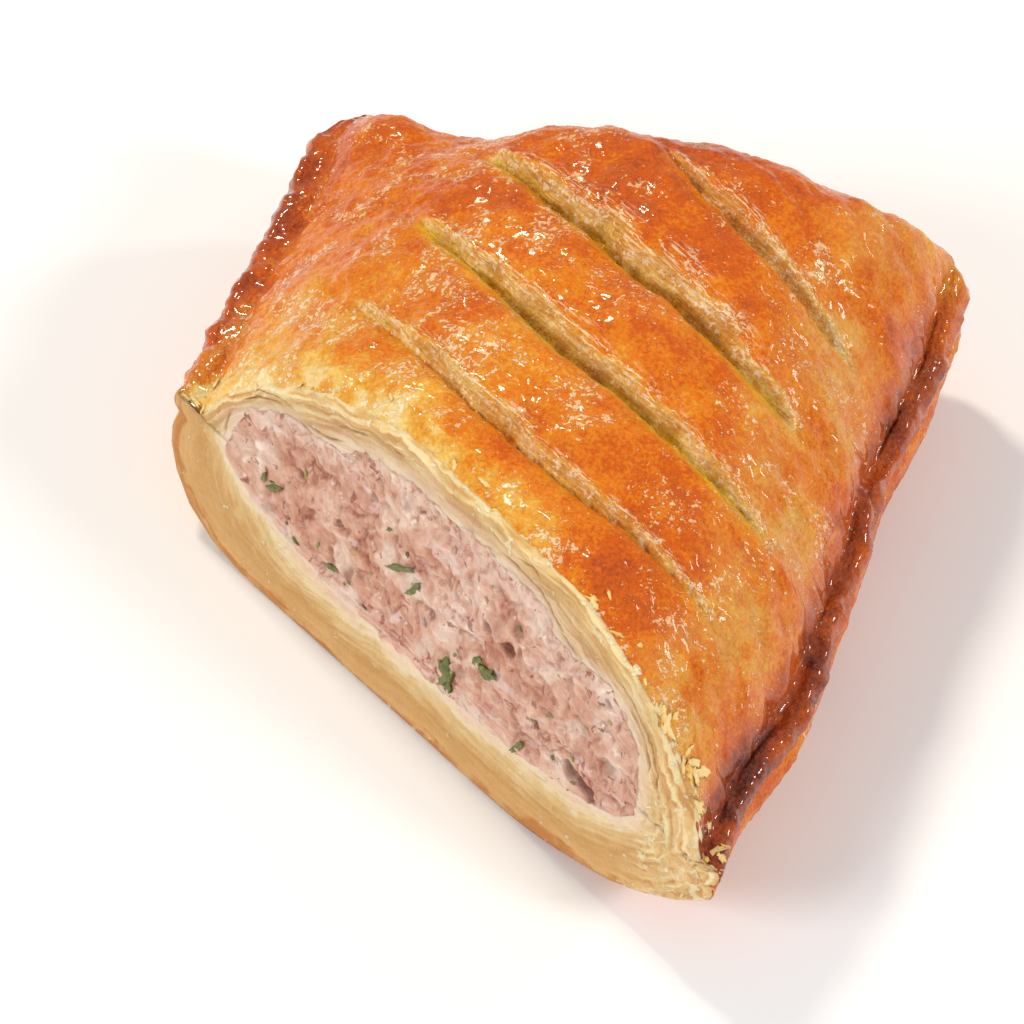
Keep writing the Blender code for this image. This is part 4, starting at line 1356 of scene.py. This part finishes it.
# Meat: tones, then the layers on them with strengths and colours
meatLook = {
    "tones": ((0.08, 140, 70, 48), (0.28, 188, 118, 90), (0.48, 212, 154, 126), (0.66, 226, 178, 152),
              (0.90, 252, 228, 208)),
    "cloud": 0.80,
    "grain": 0.70,
    "fibreTones": ((0.35, 198, 108, 88), (0.6, 248, 212, 196)),
    "fibre": 0.75,
    # Painted red brown shade in the torn creases
    "creaseShade": (0.55, colour(152, 72, 48)),
    "smear": (0.55, colour(244, 220, 210)),
    "lowerRim": (0.45, colour(244, 196, 172)),
    "pale": (0.5, colour(244, 222, 202)),
    "red": (0.75, colour(146, 62, 44)),
    # Painted shade in the holes and pits
    "hollow": (0.75, colour(134, 78, 60)),
    "grainHeight": 0.45,
}


# Meat: pinkish tones by lump with painted shade in the folds, painted red brown shade in the creases and
# hollows, pale smears, glossy and wet
def makeMeatMaterial():
    material, tree, shader, place = newMaterial("sausageMeat")
    cloudy = noiseAt(tree, place, 6.0, 3.0, 1.0)
    grain = noiseAt(tree, place, 1.3, 5.0, 1.2, 0.62)
    # The lump tone carries painted shade: darker in the folds
    tone = addNoise(tree, attribute(tree, "lumpToneAndShade"), cloudy, meatLook["cloud"])
    shade = ramp(tree, addNoise(tree, tone, grain, meatLook["grain"]), meatLook["tones"])
    # Painted shade in the torn creases
    shade = paint(tree, shade, attribute(tree, "creaseShade"), *meatLook["creaseShade"])
    smear = noiseAt(tree, drawnOut(tree, place, (0.45, 1.0, 1.0)), 2.4, 4.0, 1.0)
    shade = paint(tree, shade, smoothRange(tree, smear, 0.54, 0.68), *meatLook["smear"])
    streaks = noiseAt(tree, drawnOut(tree, place, (0.2, 1.0, 1.6)), 0.6, 3.0)
    shade = paint(tree, shade, attribute(tree, "fibre"), meatLook["fibre"],
                  ramp(tree, streaks, meatLook["fibreTones"]))
    shade = paint(tree, shade, attribute(tree, "lowerRim"), *meatLook["lowerRim"])
    pale = combine(tree, "MULTIPLY", attribute(tree, "upperRim"), smoothRange(tree, grain, 0.38, 0.55))
    pale = combine(tree, "MAXIMUM", pale, attribute(tree, "fatty"))
    shade = paint(tree, shade, pale, *meatLook["pale"])
    red = smoothRange(tree, noiseAt(tree, place, 1.5, 3.0, 0.8), 0.63, 0.68)
    shade = paint(tree, shade, red, *meatLook["red"])
    # Painted shade in the holes and pits
    shade = paint(tree, shade, attribute(tree, "hollow"), *meatLook["hollow"])
    height = combine(tree, "MULTIPLY", grain, meatLook["grainHeight"] * mm)
    setInputs(tree, shader, {
        "Base Color": shade, "Roughness": smoothRange(tree, grain, 0.3, 0.7, 0.32, 0.55),
        "Normal": bumped(tree, height), "Coat Weight": smoothRange(tree, cloudy, 0.35, 0.65, 0.25, 0.7),
        "Coat Roughness": 0.14, "Subsurface Weight": 0.25, "Subsurface Radius": (1.0, 0.4, 0.25),
        "Subsurface Scale": 0.0015})
    return material


herbLook = {
    "tones": ((0.0, 50, 56, 8), (0.4, 88, 96, 20), (0.75, 142, 140, 48), (1.0, 180, 152, 88)),
    "veinSize": 0.5,
    "veins": 0.8,
    "veinHeight": 0.1,
    "gloss": (0.2, 0.5),
}


# Herbs: green by piece, browner at the rim, with veins
def makeHerbMaterial():
    material, tree, shader, place = newMaterial("herb")
    veins = noiseAt(tree, place, herbLook["veinSize"], 3.0, 0.8)
    shade = ramp(tree, addNoise(tree, attribute(tree, "tone"), veins, herbLook["veins"]), herbLook["tones"])
    height = combine(tree, "MULTIPLY", veins, herbLook["veinHeight"] * mm)
    setInputs(tree, shader, {
        "Base Color": shade, "Roughness": 0.4, "Normal": bumped(tree, height),
        "Coat Weight": smoothRange(tree, veins, 0.3, 0.6, *herbLook["gloss"])})
    return material


# Browning of each loose piece: paleness, change from piece to piece, and change at its rim; spots is how
# crowded its pale flakes and painted glints are
flakeLook = {"start": -0.12, "change": 0.20, "rim": 0.12, "spots": 0.3}


# Loose flakes: the baked surface at its pale end
def makeFlakeMaterial():
    material, tree, shader, place = newMaterial("paleFlake")
    browning = combine(tree, "MULTIPLY_ADD", attribute(tree, "tone"), flakeLook["change"], flakeLook["start"])
    browning = combine(tree, "MULTIPLY_ADD", attribute(tree, "rim"), flakeLook["rim"], browning)
    values = {"Vector": place, "Browning": browning, "FlakesAndGlints": flakeLook["spots"]}
    baked = addNode(tree, "ShaderNodeGroup", values, node_tree=bakedGroup).outputs
    setInputs(tree, shader, {
        "Base Color": baked["Color"], "Roughness": baked["Roughness"], "Specular IOR Level": 0.25,
        "Normal": bumped(tree, baked["Height"], 0.5)})
    return material


for piece, makeMaterial in (
        (crust, makeCrustMaterial), (pastryFlakes, makeFlakeMaterial), (cutPastry, makeDoughMaterial),
        (filling, makeMeatMaterial), (herbFlecks, makeHerbMaterial)):
    piece.data.materials.append(makeMaterial())
print("materials done")

# Floor and light
studio = {
    "floorSize": 6.0,
    "floorColours": (colour(246, 246, 246), colour(226, 226, 226)),
    "worldStrength": 0.38,
    "aim": (0, 0, 0.01),
    "lights": (              # place, size, watts, colour
        ((-0.46, 0.42, 0.66), 0.13, 3.9, (1.0, 0.90, 0.75)),
        ((-0.50, -0.72, 0.60), 0.40, 5.2, (0.98, 0.99, 1.0)),
        ((0.75, -0.15, 0.50), 0.17, 3.0, (1.0, 1.0, 1.0)),
        ((0.68, 0.44, 0.42), 0.13, 1.6, (1.0, 0.96, 0.90)),
    ),
}

# The photo's angle: degrees to the right and up, metres, and the lens in millimetres
photoView = {
    "azimuth": 19.3,
    "elevation": 46.0,
    "distance": 0.8,
    "aim": (0.0005, -0.003, 0.0125),
    "lens": 285.0,
}


# One square at z = 0, nearly white and faintly clouded
def makeFloor():
    half = studio["floorSize"] / 2
    corners = [(-half, -half, 0), (half, -half, 0), (half, half, 0), (-half, half, 0)]
    mesh = bpy.data.meshes.new("floor")
    mesh.from_pydata(corners, [], [(0, 1, 2, 3)])
    floor = bpy.data.objects.new("floor", mesh)
    bpy.context.scene.collection.objects.link(floor)
    material, tree, shader, place = newMaterial("floorPaint")
    plain, clouded = studio["floorColours"]
    shade = paint(tree, plain, noiseAt(tree, place, 300.0, 2.0), 0.04, clouded)
    setInputs(tree, shader, {"Base Color": shade, "Roughness": 0.9, "Specular IOR Level": 0.1})
    mesh.materials.append(material)


# Round lights turned to the aim, and an even white sky
def addLights():
    for number, (place, size, watts, tint) in enumerate(studio["lights"]):
        data = bpy.data.lights.new(f"softLight{number}", "AREA")
        data.shape, data.size, data.energy, data.color = "DISK", size, watts, tint
        light = bpy.data.objects.new(f"softLight{number}", data)
        light.location = place
        light.rotation_euler = (Vector(place) - Vector(studio["aim"])).to_track_quat("Z", "Y").to_euler()
        bpy.context.scene.collection.objects.link(light)
    world = bpy.data.worlds.new("studioWorld")
    world.use_nodes = True
    sky = {"Color": (1.0, 1.0, 1.0, 1.0), "Strength": studio["worldStrength"]}
    setInputs(world.node_tree, world.node_tree.nodes["Background"], sky)
    bpy.context.scene.world = world


# The camera stands back from its aim: right by the azimuth from -Y, and up by the elevation
def addCamera():
    azimuth, elevation = math.radians(photoView["azimuth"]), math.radians(photoView["elevation"])
    level = math.cos(elevation)
    back = Vector((math.sin(azimuth) * level, -math.cos(azimuth) * level, math.sin(elevation)))
    data = bpy.data.cameras.new("photoCamera")
    data.lens = photoView["lens"]
    data.clip_start, data.clip_end = 0.01, 20.0
    camera = bpy.data.objects.new("photoCamera", data)
    camera.location = Vector(photoView["aim"]) + back * photoView["distance"]
    camera.rotation_euler = back.to_track_quat("Z", "Y").to_euler()
    bpy.context.scene.collection.objects.link(camera)
    bpy.context.scene.camera = camera


makeFloor()
addLights()
addCamera()
bpy.context.scene.view_settings.view_transform = "Standard"
print("floor, lights and camera done")

for piece in (crust, cutPastry, filling, herbFlecks, pastryFlakes):
    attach(piece, "root")
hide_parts("pastry_crust")
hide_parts("sausage_filling")
